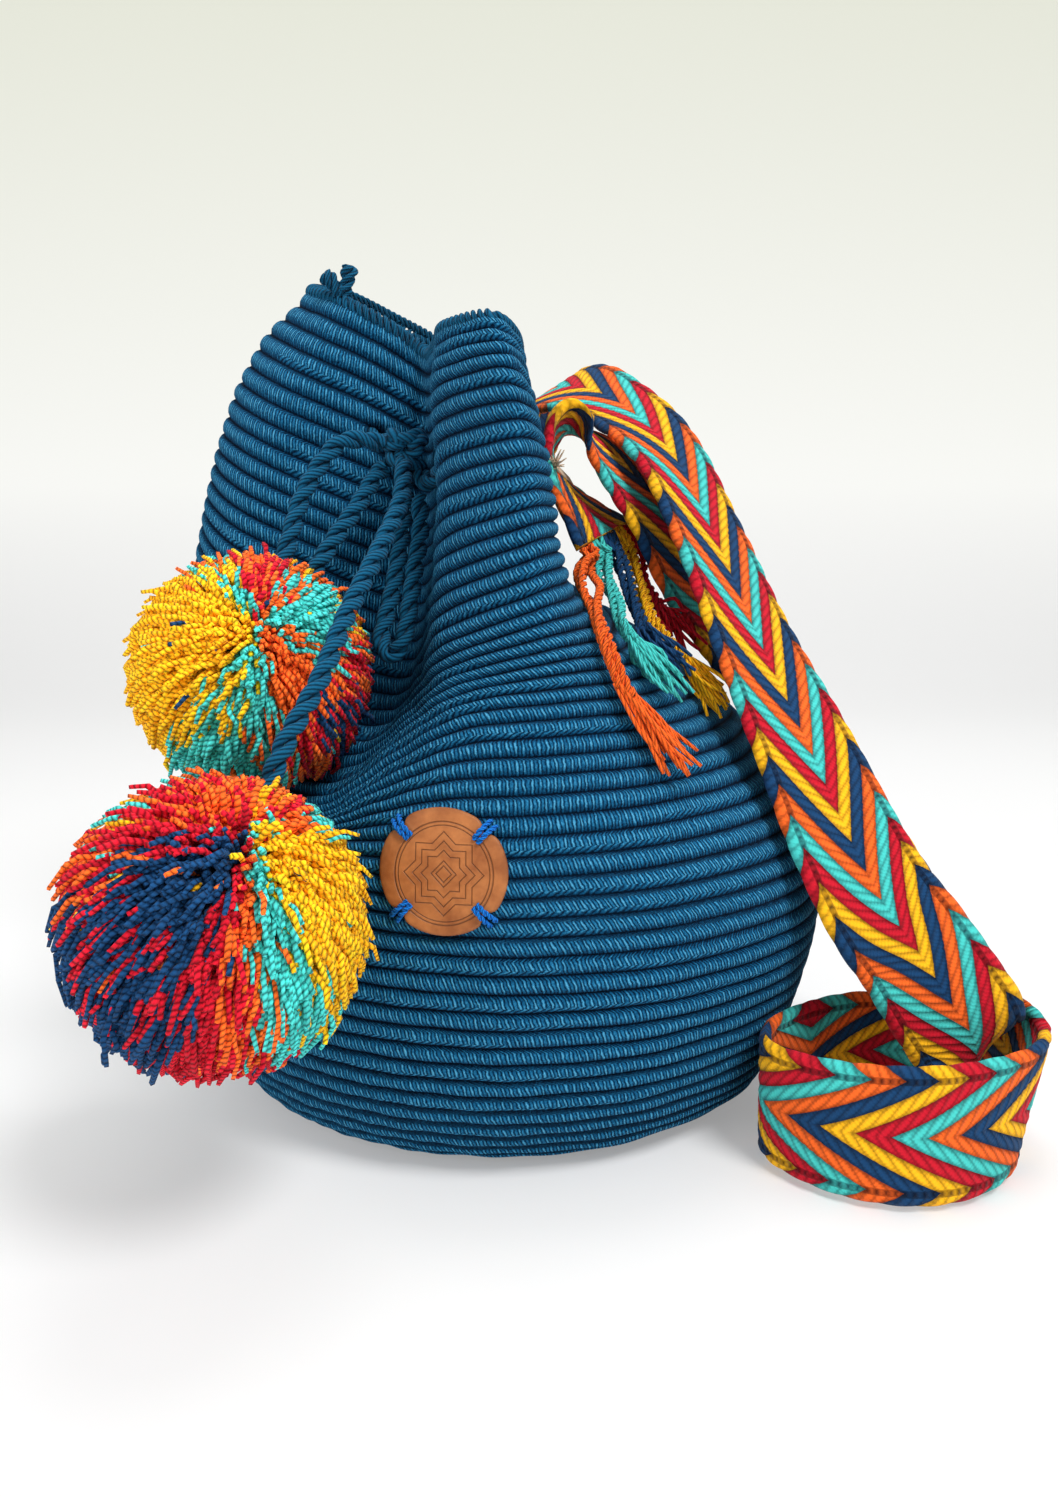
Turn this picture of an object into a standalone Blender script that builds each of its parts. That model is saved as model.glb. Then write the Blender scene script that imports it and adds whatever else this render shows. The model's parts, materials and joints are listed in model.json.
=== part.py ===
"""A crocheted drawstring shoulder bag with a woven chevron strap, two yarn pompoms and a leather patch.

The bag stands on its flat base at the origin, +Z up, with its front towards -Y. Lengths are metres.
"""

import math

import bmesh
import bpy
import numpy as np
from mathutils import Vector
from mathutils.bvhtree import BVHTree

# Driving sizes
BAG_HEIGHT = 0.323
BELLY_WIDTH = 0.254
BELLY_DEPTH = 0.236
BASE_WIDTH = 0.176
WALL = 0.004
ROUND_PITCH = 0.0064
GROOVE_DEPTH = 0.0012
RIM_BEAD = 0.0012
GAP = 0.0003
STRAP_WIDTH = 0.046
STRAP_THICKNESS = 0.0045
CORD_DIAMETER = 0.007
CORD_CLEARANCE = 0.0012
KNOT_LENGTH = 0.020
KNOT_WIDTH = 0.016
PATCH_WIDTH = 0.041
PATCH_HEIGHT = 0.039
PATCH_THICKNESS = 0.0018
PATCH_NOTCH = 0.0022
THREAD_DIAMETER = 0.0018
FRONT_POMPOM_DIAMETER = 0.086
BACK_POMPOM_DIAMETER = 0.080
TASSEL_DIAMETER = 0.0055
RIM_KNOT_LENGTH = 0.009
RIM_KNOT_WIDTH = 0.008
BAR_TACK_LENGTH = 0.030
BAR_TACK_HEIGHT = 0.0014

# Width, depth and height of the bag that the places picked by eye below were drawn for
DRAWN_SIZE = (0.254, 0.236, 0.323)

# Fineness of the faceted solids
SPAN_COLUMNS = (2, 2, 2, 2, 2, 2, 2, 2, 2, 2, 2, 3, 3, 2, 2)
INNER_STEP = 2
STRAP_STEP = 0.010
CORD_STEP = 2.5 * CORD_DIAMETER

# The patch's middle, seen from the front
PATCH_ACROSS = -0.017
PATCH_UP = 0.113

# Headings round the bag of the fifteen columns of control points, in degrees from +X
HEADINGS = (10, 45, 85, 115, 145, 172, 196, 212, 225, 235, 246, 258, 274, 298, 330)

# Even rings of the lower bag: centre across and deep, half width, half depth, height, tilt
LOWER_RINGS = (
    (0.000, 0.000, 0.500 * BASE_WIDTH, 0.490 * BASE_WIDTH, 0.000, 0.00),
    (0.000, -0.002, 0.434 * BELLY_WIDTH, 0.432 * BELLY_DEPTH, 0.028 * BAG_HEIGHT, 0.00),
    (0.002, -0.004, 0.473 * BELLY_WIDTH, 0.483 * BELLY_DEPTH, 0.118 * BAG_HEIGHT, 0.00),
    (0.006, -0.004, 0.492 * BELLY_WIDTH, 0.500 * BELLY_DEPTH, 0.257 * BAG_HEIGHT, 0.00),
    (0.002, -0.002, 0.455 * BELLY_WIDTH, 0.485 * BELLY_DEPTH, 0.360 * BAG_HEIGHT, 0.03),
)

# Slumped rings above the belly, a column each: across and deep in hundredths of the belly's
# half width and half depth, and up in hundredths of the bag's height
SHOULDER_RING = (
    (66, 21, 50), (50, 59, 52), (0, 85, 53), (-54, 83, 54), (-88, 60, 54),
    (-102, 20, 52), (-98, -14, 47), (-81, -36, 41), (-61, -55, 39), (-46, -66, 40),
    (-28, -74, 45), (-9, -83, 49), (17, -83, 50), (41, -63, 50), (58, -24, 50),
)
LOW_NECK_RING = (
    (17, 25, 63), (15, 59, 64), (-8, 81, 65), (-58, 83, 66), (-91, 66, 66),
    (-105, 30, 65), (-94, 2, 60), (-70, -6, 55), (-48, -11, 51), (-32, -18, 50),
    (-24, -38, 53), (-16, -61, 57), (10, -76, 61), (20, -55, 62), (19, -12, 62),
)
NECK_RING = (
    (8, 27, 76), (3, 59, 77), (-14, 78, 79), (-55, 81, 80), (-84, 70, 81),
    (-97, 36, 81), (-82, 10, 77), (-54, 8, 72), (-33, 14, 69), (-26, 10, 68),
    (-19, -21, 70), (-16, -51, 73), (6, -71, 75), (14, -48, 75), (11, -8, 75),
)
UPPER_RING = (
    (5, 27, 82), (1, 61, 84), (-14, 80, 87), (-49, 81, 90), (-76, 70, 92),
    (-85, 39, 92), (-69, 14, 88), (-46, 12, 84), (-31, 15, 81), (-25, 12, 80),
    (-20, -19, 81), (-18, -47, 83), (2, -68, 84), (9, -47, 83), (8, -9, 82),
)
RIM_RING = (
    (4, 27, 88), (0, 59, 89), (-16, 76, 93), (-41, 78, 97), (-62, 66, 101),
    (-66, 41, 100), (-52, 20, 97), (-38, 17, 94), (-30, 19, 92), (-25, 12, 90),
    (-20, -17, 90), (-16, -41, 90), (-2, -58, 90), (5, -44, 89), (6, -10, 88),
)

# Where the neck cord goes, a row each: column, ring, and 1 outside the wall or -1 inside it
NECK_CORD_ROUTE = (
    (8.45, 7.60, 1), (7.85, 7.72, 1), (7.35, 7.75, 0), (6.9, 7.72, -1),
    (6.2, 7.6, -1), (5.2, 7.5, -1), (4.6, 7.5, 0), (4.1, 7.5, 1), (3.4, 7.5, 1),
    (2.9, 7.5, 0), (2.4, 7.5, -1), (1.8, 7.5, -1), (1.3, 7.5, 0), (0.85, 7.5, 1),
    (0.4, 7.5, 0), (-0.1, 7.5, -1), (-1.0, 7.5, -1), (-1.7, 7.5, -1), (-2.3, 7.5, -1),
    (-3.0, 7.5, -1), (-3.7, 7.5, -1), (-4.3, 7.4, -1), (-4.72, 7.35, 0), (-5.0, 7.3, 1),
)

# Which way the neck cord's two ends leave the knot
NECK_CORD_LEAVES = ((-0.10, 0.95, -0.30), (0.60, -0.35, -0.75))
NECK_CORD_GAP = 0.0021
KNOT_CORD_GAP = 0.0009

# Free cords, from their upper end down: route points chosen by eye
KNOT_PLACE = (-0.0375, -0.016, 0.250)
FRONT_CORD_ROUTE = (
    (-0.0367, -0.030, 0.242), (-0.037, -0.042, 0.230), (-0.042, -0.062, 0.214),
    (-0.050, -0.087, 0.193), (-0.056, -0.105, 0.174), (-0.065, -0.120, 0.155),
)
BACK_CORD_ROUTE = (
    (-0.050, -0.021, 0.254), (-0.060, -0.026, 0.253), (-0.068, -0.030, 0.244),
    (-0.074, -0.035, 0.232), (-0.077, -0.041, 0.220),
)
RETURN_CORD_ROUTE = (
    (-0.048, -0.0195, 0.2415), (-0.0545, -0.030, 0.229), (-0.062, -0.0385, 0.217),
)
LOOP_ROUTE = (
    (-0.0375, -0.0150, 0.236), (-0.038, -0.022, 0.222), (-0.0395, -0.031, 0.208),
    (-0.0415, -0.038, 0.195), (-0.043, -0.044, 0.184), (-0.0405, -0.049, 0.177),
    (-0.036, -0.049, 0.182), (-0.034, -0.043, 0.194), (-0.0325, -0.035, 0.207),
    (-0.031, -0.027, 0.220),
)

# Pompoms: a point to start from and the way each one falls until it touches
FRONT_POMPOM_START = (-0.092, -0.165, 0.104)
FRONT_POMPOM_FALL = (0.35, 1.0, 0.0)
BACK_POMPOM_START = (-0.088, -0.085, 0.180)
BACK_POMPOM_FALL = (0.05, 0.9, -0.45)

# The strap from its sewn near end to its sewn far end, a row each: the middle of the band,
# and the way its width points
STRAP_ROUTE = (
    ((0.040, -0.003, 0.219), (0.80, 0.55, -0.25)),
    ((0.0255, 0.001, 0.236), (0.35, 0.93, -0.10)),
    ((0.0185, 0.004, 0.248), (0.05, 0.99, -0.12)),
    ((0.0185, 0.006, 0.257), (0.00, 0.97, -0.22)),
    ((0.026, 0.009, 0.262), (0.15, 0.96, -0.22)),
    ((0.037, 0.011, 0.2555), (0.42, 0.90, -0.04)),
    ((0.0535, 0.009, 0.240), (0.60, 0.78, 0.12)),
    ((0.0665, 0.005, 0.225), (0.70, 0.66, 0.16)),
    ((0.077, 0.003, 0.206), (0.70, 0.64, 0.26)),
    ((0.089, 0.003, 0.187), (0.66, 0.68, 0.32)),
    ((0.103, 0.001, 0.166), (0.56, 0.78, 0.28)),
    ((0.121, -0.008, 0.147), (0.34, 0.92, 0.18)),
    ((0.140, -0.021, 0.127), (0.16, 0.98, 0.12)),
    ((0.155, -0.031, 0.104), (0.10, 0.99, 0.08)),
    ((0.168, -0.039, 0.079), (0.10, 0.98, -0.08)),
    ((0.180, -0.045, 0.054), (0.16, 0.83, -0.50)),
    ((0.190, -0.058, 0.033), (-0.02, 0.38, -0.92)),
    ((0.1905, -0.078, 0.025), (-0.22, 0.05, -0.97)),
    ((0.181, -0.0995, 0.025), (-0.18, -0.06, -0.98)),
    ((0.161, -0.115, 0.025), (-0.08, -0.14, -0.98)),
    ((0.137, -0.121, 0.025), (-0.02, -0.16, -0.99)),
    ((0.112, -0.115, 0.025), (0.06, -0.10, -0.99)),
    ((0.0945, -0.099, 0.025), (0.06, 0.00, -1.00)),
    ((0.0965, -0.081, 0.025), (0.00, 0.00, -1.00)),
    ((0.112, -0.066, 0.025), (0.00, 0.00, -1.00)),
    ((0.133, -0.056, 0.025), (0.00, 0.00, -1.00)),
    ((0.156, -0.055, 0.025), (0.00, 0.00, -1.00)),
    ((0.168, -0.060, 0.0255), (-0.08, 0.00, -1.00)),
    ((0.1735, -0.071, 0.028), (-0.30, -0.05, -0.95)),
    ((0.1700, -0.081, 0.034), (-0.58, -0.10, -0.81)),
    ((0.166, -0.0855, 0.045), (-0.74, -0.12, -0.65)),
    ((0.156, -0.0845, 0.060), (-0.84, -0.16, -0.50)),
    ((0.146, -0.082, 0.075), (-0.86, -0.24, -0.42)),
    ((0.134, -0.080, 0.091), (-0.84, -0.33, -0.42)),
    ((0.123, -0.074, 0.112), (-0.79, -0.45, -0.41)),
    ((0.110, -0.057, 0.144), (-0.70, -0.60, -0.37)),
    ((0.095, -0.036, 0.180), (-0.58, -0.74, -0.33)),
    ((0.081, -0.013, 0.218), (-0.48, -0.81, -0.34)),
    ((0.068, 0.010, 0.249), (-0.40, -0.84, -0.37)),
    ((0.053, 0.032, 0.269), (-0.32, -0.84, -0.44)),
    ((0.036, 0.053, 0.281), (-0.32, -0.83, -0.46)),
    ((0.022, 0.077, 0.284), (-0.55, -0.68, -0.46)),
    ((0.012, 0.099, 0.277), (-0.76, -0.52, -0.36)),
    ((0.001, 0.112, 0.263), (-0.92, -0.34, -0.18)),
    ((-0.008, 0.115, 0.244), (-0.98, -0.20, -0.04)),
    ((-0.013, 0.113, 0.225), (-1.00, 0.00, 0.00)),
    ((-0.015, 0.116, 0.207), (-1.00, 0.00, 0.00)),
)

# Which of the strap's rows of points, counted from either end, a seam crosses
NEAR_SEAM_ROW = 3
FAR_SEAM_ROW = -3

# Column of the wall where the rim's yarn tail is tied, and how high over the rim it starts
RIM_KNOT_COLUMN = 5.95
RIM_KNOT_LIFT = 0.0025

# Near tassels: colour, share of the strap's half width where each one starts, and its route down
NEAR_TASSELS = {
    "orange": (-0.72, (
        (0.0315, -0.027, 0.206), (0.0325, -0.052, 0.197), (0.0345, -0.081, 0.186),
        (0.0405, -0.089, 0.170), (0.0505, -0.0905, 0.1545), (0.060, -0.092, 0.1415),
    )),
    "turquoise": (-0.35, (
        (0.0395, -0.026, 0.204), (0.0420, -0.048, 0.194), (0.043, -0.063, 0.1875),
        (0.050, -0.070, 0.1765), (0.059, -0.0695, 0.167),
    )),
    "navy": (0.05, (
        (0.048, -0.020, 0.202), (0.052, -0.042, 0.186), (0.058, -0.050, 0.177),
        (0.0645, -0.0545, 0.1705),
    )),
    "yellow": (0.4, (
        (0.0535, -0.0125, 0.200), (0.0575, -0.026, 0.187), (0.064, -0.0365, 0.178),
        (0.0725, -0.044, 0.169), (0.082, -0.048, 0.157),
    )),
    "crimson": (0.70, ((0.0570, -0.0055, 0.199), (0.065, -0.018, 0.187), (0.0705, -0.0225, 0.179))),
}
NEAR_TASSEL_GAP = 0.0016
FAR_TASSEL_GAP = 0.0005
TASSEL_LEAD = 0.004
FAR_TASSEL_WAY = (0.0, 0.1, -1.0)
FAR_TASSEL_LENGTH = 0.050
FAR_TASSEL_SPREAD = 0.40
FAR_TASSEL_SWAY = 0.004
FAR_TASSEL_FAN = 0.010

COLOURS = {
    "wool_teal": (0.018, 0.100, 0.195), "cord_navy": (0.014, 0.065, 0.140),
    "leather": (0.480, 0.170, 0.050), "thread_blue": (0.010, 0.170, 0.600),
    "thread_beige": (0.620, 0.470, 0.330), "orange": (0.800, 0.120, 0.020),
    "turquoise": (0.055, 0.560, 0.520), "yellow": (0.860, 0.400, 0.010),
    "crimson": (0.400, 0.006, 0.020), "navy": (0.008, 0.040, 0.095),
}


def clear_scene():
    for item in list(bpy.data.objects):
        bpy.data.objects.remove(item, do_unlink=True)


def finish(colour, roughness=0.85):
    """The plain material of one colour, made once."""
    found = bpy.data.materials.get(colour)
    if found:
        return found
    material = bpy.data.materials.new(colour)
    material.use_nodes = True
    shader = material.node_tree.nodes["Principled BSDF"]
    shader.inputs["Base Color"].default_value = (*COLOURS[colour], 1.0)
    shader.inputs["Roughness"].default_value = roughness
    return material


def add_object(name, data, colour):
    piece = bpy.data.objects.new(name, data)
    bpy.context.scene.collection.objects.link(piece)
    data.materials.append(finish(colour))
    return piece


def add_mesh(name, points, faces, colour):
    mesh = bpy.data.meshes.new(name)
    mesh.from_pydata([tuple(map(float, p)) for p in points], [], faces)
    shape = bmesh.new()
    shape.from_mesh(mesh)
    bmesh.ops.recalc_face_normals(shape, faces=shape.faces)
    shape.to_mesh(mesh)
    shape.free()
    mesh.shade_smooth()
    return add_object(name, mesh, colour)


def unit(vector):
    length = np.linalg.norm(vector, axis=-1, keepdims=True)
    return vector / np.maximum(length, 1e-12)


def blend4(a, b, c, d, t):
    """A smooth curve from b to c, t running from 0 to 1, with a before and d after."""
    return 0.5 * (
        2 * b + (c - a) * t + (2 * a - 5 * b + 4 * c - d) * t**2 + (3 * b - a - 3 * c + d) * t**3
    )


def smooth_line(route, at):
    """Points of the smooth curve through the route's points, at places counted in spans."""
    route = np.asarray(route, float)
    padded = np.vstack([2 * route[0] - route[1], route, 2 * route[-1] - route[-2]])
    span = np.clip(np.floor(at).astype(int), 0, len(route) - 2)
    t = (np.asarray(at) - span)[:, None]
    return blend4(padded[span], padded[span + 1], padded[span + 2], padded[span + 3], t)


def even_places(route, step):
    """Places along a route, about a step apart in length."""
    fine = np.linspace(0, len(route) - 1, 40 * len(route))
    line = smooth_line(route, fine)
    along = np.concatenate([[0], np.cumsum(np.linalg.norm(np.diff(line, axis=0), axis=1))])
    count = max(2, round(along[-1] / step))
    return np.interp(np.linspace(0, along[-1], count + 1), along, fine)


def to_size(places):
    """Places picked by eye, moved with the bag's own size."""
    return np.array(places) * (BELLY_WIDTH, BELLY_DEPTH, BAG_HEIGHT) / DRAWN_SIZE


def even_ring(across, deep, half_width, half_depth, up, tilt):
    angle = np.radians(HEADINGS)
    x = across + half_width * np.cos(angle)
    y = deep + half_depth * np.sin(angle)
    return np.stack([x, y, up + tilt * (x - across)], axis=1)


def slumped_ring(rows):
    return np.array(rows) / 100 * (BELLY_WIDTH / 2, BELLY_DEPTH / 2, BAG_HEIGHT)


def control_net():
    slumped = (SHOULDER_RING, LOW_NECK_RING, NECK_RING, UPPER_RING, RIM_RING)
    rings = [even_ring(*row) for row in LOWER_RINGS] + [slumped_ring(rows) for rows in slumped]
    return np.array(rings)


NET = control_net()
COLUMNS = len(HEADINGS)
TOP = len(NET) - 1


def wall_surface(column, ring):
    """The wall's outer face at the rounds' crests. Columns go round, and rings go up."""
    column, ring = np.broadcast_arrays(np.asarray(column, float), np.asarray(ring, float))
    low = np.clip(np.floor(ring).astype(int), 0, TOP - 1)
    t = (ring - low)[..., None]
    first = np.floor(column).astype(int)
    s = (column - first)[..., None]
    padded = np.concatenate([2 * NET[:1] - NET[1:2], NET, 2 * NET[-1:] - NET[-2:-1]])
    rows = []
    for above in range(4):
        row = padded[low + above]
        columns = (first[..., None] + np.arange(-1, 3)) % COLUMNS
        near = np.take_along_axis(row, columns[..., None], axis=-2)
        rows.append(blend4(near[..., 0, :], near[..., 1, :], near[..., 2, :], near[..., 3, :], s))
    return blend4(*rows, t)


def wall_normal(column, ring):
    step = 0.02
    across = wall_surface(column + step, ring) - wall_surface(column - step, ring)
    low = np.clip(ring - step, 0, TOP)
    high = np.clip(ring + step, 0, TOP)
    return unit(np.cross(across, wall_surface(column, high) - wall_surface(column, low)))


def wall_columns():
    return np.concatenate([
        number + np.arange(count) / count for number, count in enumerate(SPAN_COLUMNS)
    ])


def round_places():
    """Ring places of the crests and the grooves between them, a row each, bottom to top."""
    fine = np.linspace(0, TOP, 400)
    columns = np.arange(COLUMNS)
    line = wall_surface(columns[None, :], fine[:, None])
    steps = np.linalg.norm(np.diff(line, axis=0), axis=2).mean(axis=1)
    along = np.concatenate([[0], np.cumsum(steps)])
    rounds = round(along[-1] / ROUND_PITCH)
    return np.interp(np.linspace(0, along[-1], 2 * rounds + 1), along, fine)


def disc_rows(edge, shares, height):
    middle = edge.mean(axis=0)
    rows = []
    for share in shares:
        row = middle + (edge - middle) * share
        row[:, 2] = height
        rows.append(row)
    return rows


def make_bag_body():
    """Flat base, ribbed wall, rolled rim, smooth lining side and floor, as one closed shell."""
    columns = wall_columns()
    places = round_places()
    grid = wall_surface(columns[None, :], places[:, None])
    normals = wall_normal(columns[None, :], places[:, None])
    depth = np.where(np.arange(len(places)) % 2 == 1, GROOVE_DEPTH, 0.0)
    depth[-2:] = -RIM_BEAD
    outer = grid - normals * depth[:, None, None]
    outer[0, :, 2] = 0.0
    lowest = WALL
    inner_places = places[np.r_[3:len(places) - 1:INNER_STEP, len(places) - 1]]
    inner = wall_surface(columns[None, :], inner_places[:, None])
    inner = inner - WALL * wall_normal(columns[None, :], inner_places[:, None])
    inner[0, :, 2] = lowest
    rows = disc_rows(outer[0], (0.35, 0.7), 0.0) + list(outer)
    rows += list(inner[::-1]) + disc_rows(inner[0], (0.6,), lowest)
    count = len(columns)
    points = [rows[0].mean(axis=0)]
    for row in rows:
        points += list(row)
    points.append(rows[-1].mean(axis=0))
    faces = [(0, 1 + (k + 1) % count, 1 + k) for k in range(count)]
    for level in range(len(rows) - 1):
        start = 1 + level * count
        for k in range(count):
            other = (k + 1) % count
            faces.append((start + k, start + other, start + count + other, start + count + k))
    start = 1 + (len(rows) - 1) * count
    faces += [(len(points) - 1, start + k, start + (k + 1) % count) for k in range(count)]
    return add_mesh("bag_body", points, faces, "wool_teal")


def crest_tree():
    """The smooth face that touches all the crests, for seating what lies on the wall."""
    columns = np.arange(0, COLUMNS, 0.1)
    rings = np.linspace(0, TOP, 181)
    grid = wall_surface(columns[None, :], rings[:, None])
    count = len(columns)
    faces = []
    for level in range(len(rings) - 1):
        for k in range(count):
            other = (k + 1) % count
            row = level * count
            faces.append((row + k, row + other, row + count + other, row + count + k))
    return BVHTree.FromPolygons([Vector(p) for p in grid.reshape(-1, 3)], faces)


CRESTS = crest_tree()


def front_of_wall(across, up):
    """The crest face's point and outward normal straight behind a place seen from the front."""
    point, normal, _, _ = CRESTS.ray_cast(Vector((across, -1.0, up)), Vector((0, 1, 0)))
    if normal.y > 0:
        normal = -normal
    return np.array(point), np.array(normal)


def make_tube(name, line, radii, colour, sides=8):
    """A closed tube through the line's points, with its own radius at each."""
    line = np.asarray(line, float)
    way = unit(np.gradient(line, axis=0))
    side = unit(np.cross(way[0], (0.3, 0.5, 0.8)))
    points = []
    for place, heading, radius in zip(line, way, radii):
        side = unit(side - heading * np.dot(side, heading))
        other = np.cross(heading, side)
        for k in range(sides):
            angle = 2 * math.pi * k / sides
            points.append(place + radius * (math.cos(angle) * side + math.sin(angle) * other))
    faces = [tuple(reversed(range(sides)))]
    for level in range(len(line) - 1):
        for k in range(sides):
            other = (k + 1) % sides
            row = level * sides
            faces.append((row + k, row + other, row + sides + other, row + sides + k))
    faces.append(tuple(range((len(line) - 1) * sides, len(line) * sides)))
    return add_mesh(name, points, faces, colour)


def make_cord(name, route, diameter=CORD_DIAMETER):
    """A cord as a bevelled curve through even points of its smooth route."""
    points = smooth_line(route, even_places(route, CORD_STEP))
    curve = bpy.data.curves.new(name, "CURVE")
    curve.dimensions = "3D"
    curve.bevel_depth = diameter / 2
    curve.bevel_resolution = 2
    curve.use_fill_caps = True
    spline = curve.splines.new("POLY")
    spline.points.add(len(points) - 1)
    for spot, place in zip(spline.points, points):
        spot.co = (*place, 1.0)
    return add_object(name, curve, "cord_navy")


def neck_cord_line():
    """The neck cord's way in and out of the wall, from the wall's own face."""
    reach = CORD_DIAMETER / 2 + CORD_CLEARANCE
    line = []
    for column, ring, side in NECK_CORD_ROUTE:
        offset = {1: reach, 0: -WALL / 2, -1: -WALL - reach}[side]
        line.append(wall_surface(column, ring) + offset * wall_normal(column, ring))
    first, last = (knot_edge(way, NECK_CORD_GAP) for way in NECK_CORD_LEAVES)
    return np.vstack([first, line, last])


def cut_eyelets(body, line):
    """Holes in the wall, cut by a slightly fatter copy of the neck cord."""
    places = smooth_line(line, even_places(line, CORD_STEP))
    radius = CORD_DIAMETER / 2 + CORD_CLEARANCE / 2
    cutter = make_tube("eyelet_cutter", places, [radius] * len(places), "cord_navy")
    cutter.hide_render = True
    cutter.display_type = "WIRE"
    cut = body.modifiers.new("eyelets", "BOOLEAN")
    cut.operation = "DIFFERENCE"
    cut.object = cutter


def knot_surface(way):
    """The lumpy knot's surface point for a direction on the round ball it is shaped from."""
    x, y, z = way
    lump = 0.97 + 0.03 * math.sin(7 * x + 4 * z) * math.cos(5 * y)
    return lump * np.array((KNOT_WIDTH * x, KNOT_WIDTH * y, KNOT_LENGTH * z)) / 2


def knot_edge(toward, away=KNOT_CORD_GAP):
    """The place just off the knot where a cord that leaves it in this direction starts."""
    toward = unit(np.array(toward, float))
    way = unit(toward / (KNOT_WIDTH, KNOT_WIDTH, KNOT_LENGTH))
    return to_size(KNOT_PLACE) + knot_surface(way) + away * toward


def from_knot(route):
    """A route with its first point set at the knot's side."""
    route = to_size(route)
    return np.vstack([knot_edge(route[0] - to_size(KNOT_PLACE)), route])


def make_knot():
    """The gathered knot of the cords: a lumpy ball."""
    shape = bmesh.new()
    bmesh.ops.create_icosphere(shape, subdivisions=2, radius=1.0)
    for vert in shape.verts:
        vert.co = Vector(to_size(KNOT_PLACE) + knot_surface(vert.co))
    mesh = bpy.data.meshes.new("drawstring_knot")
    shape.to_mesh(mesh)
    shape.free()
    mesh.shade_smooth()
    return add_object("drawstring_knot", mesh, "cord_navy")


def fallen_place(start, fall, radius):
    """Where a ball that starts clear and moves one way first comes to the bag's wall."""
    start = to_size(start)
    fall = unit(np.array(fall, float))
    near, far = 0.0, 0.12
    steps = np.linspace(near, far, 241)
    for step in steps:
        _, _, _, distance = CRESTS.find_nearest(Vector(start + fall * step))
        if distance < radius + GAP:
            break
        near = step
    return start + fall * near


def tuft(way):
    """How far a pompom's surface stands out this way, as a share of its radius."""
    x, y, z = way
    return 0.985 + 0.015 * math.sin(7 * x + 4 * z) * math.cos(6 * y - 5 * x)


def make_pompom(name, centre, diameter, colour):
    """A ball of cut yarn: its tufts stand in and out a little."""
    shape = bmesh.new()
    bmesh.ops.create_icosphere(shape, subdivisions=3, radius=1.0)
    for vert in shape.verts:
        vert.co = Vector(centre) + vert.co * tuft(vert.co) * diameter / 2
    mesh = bpy.data.meshes.new(name)
    shape.to_mesh(mesh)
    shape.free()
    mesh.shade_smooth()
    return add_object(name, mesh, colour)


def to_pompom(route, centre, diameter):
    """A route with its last point set at the pompom's side."""
    toward = unit(np.array(route[-1]) - centre)
    return np.vstack([route, centre + toward * (tuft(toward) * diameter / 2 + 2 * GAP)])


def make_patch():
    """The leather patch: a curved disc with four notches, laid on the crests."""
    sides, rings = 48, 4
    points = []
    for lift in (GAP, GAP + PATCH_THICKNESS):
        for ring in range(rings + 1):
            for k in range(sides if ring else 1):
                angle = 2 * math.pi * k / sides
                notch = PATCH_NOTCH * math.exp(-((math.cos(4 * angle) + 1) / 0.10))
                share = ring / rings
                across = (PATCH_WIDTH / 2 - notch) * share * math.cos(angle)
                up = (PATCH_HEIGHT / 2 - notch) * share * math.sin(angle)
                place, normal = front_of_wall(PATCH_ACROSS + across, PATCH_UP + up)
                points.append(place + normal * lift)
    layer = 1 + rings * sides
    faces = []
    for start in (0, layer):
        faces += [(start, start + 1 + k, start + 1 + (k + 1) % sides) for k in range(sides)]
        for ring in range(rings - 1):
            row = start + 1 + ring * sides
            for k in range(sides):
                other = (k + 1) % sides
                faces.append((row + k, row + other, row + sides + other, row + sides + k))
    edge = 1 + (rings - 1) * sides
    for k in range(sides):
        other = (k + 1) % sides
        faces.append((edge + k, edge + other, layer + edge + other, layer + edge + k))
    return add_mesh("leather_patch", points, faces, "leather")


def stitch_line(angle):
    """One thread stitch, from the wall outside the patch's edge to its face."""
    radius = THREAD_DIAMETER / 2
    edge = np.array((PATCH_WIDTH / 2, PATCH_HEIGHT / 2)) - PATCH_NOTCH
    lifts = (radius + GAP, radius + 2 * GAP + PATCH_THICKNESS, radius + 2 * GAP + PATCH_THICKNESS)
    beyond = (2.2 * THREAD_DIAMETER, 0.2 * THREAD_DIAMETER, -1.6 * THREAD_DIAMETER)
    line = []
    for lift, extra in zip(lifts, beyond):
        across, up = (edge + extra) * (math.cos(angle), math.sin(angle))
        place, normal = front_of_wall(PATCH_ACROSS + across, PATCH_UP + up)
        line.append(place + normal * lift)
    return line


def make_patch_stitches():
    """The four threads that hold the patch, each through its own notch."""
    for corner in range(4):
        line = stitch_line(math.pi / 4 + corner * math.pi / 2)
        points = smooth_line(line, np.linspace(0, 2, 5))
        make_tube(f"patch_stitch_{corner + 1}", points, [THREAD_DIAMETER / 2] * 5, "thread_blue")


def band_frames(at):
    """Middle, along, across and face directions of the strap at these places."""
    middle = smooth_line(to_size([row[0] for row in STRAP_ROUTE]), at)
    width_way = smooth_line([row[1] for row in STRAP_ROUTE], at)
    along = unit(np.gradient(middle, axis=0))
    dot = (width_way * along).sum(axis=1, keepdims=True)
    across = unit(width_way - dot * along)
    face = np.cross(along, across)
    lowest = np.abs(across[:, 2]) * STRAP_WIDTH / 2 + np.abs(face[:, 2]) * STRAP_THICKNESS / 2
    middle[:, 2] = np.maximum(middle[:, 2], lowest + GAP)
    return middle, along, across, face


def strap_places():
    return even_places(to_size([row[0] for row in STRAP_ROUTE]), STRAP_STEP)


# The band's section: shares of its half width and half thickness
SECTION = ((-0.96, 1), (0.0, 1), (0.96, 1), (1.0, 0), (0.96, -1), (0.0, -1), (-0.96, -1), (-1.0, 0))


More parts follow.
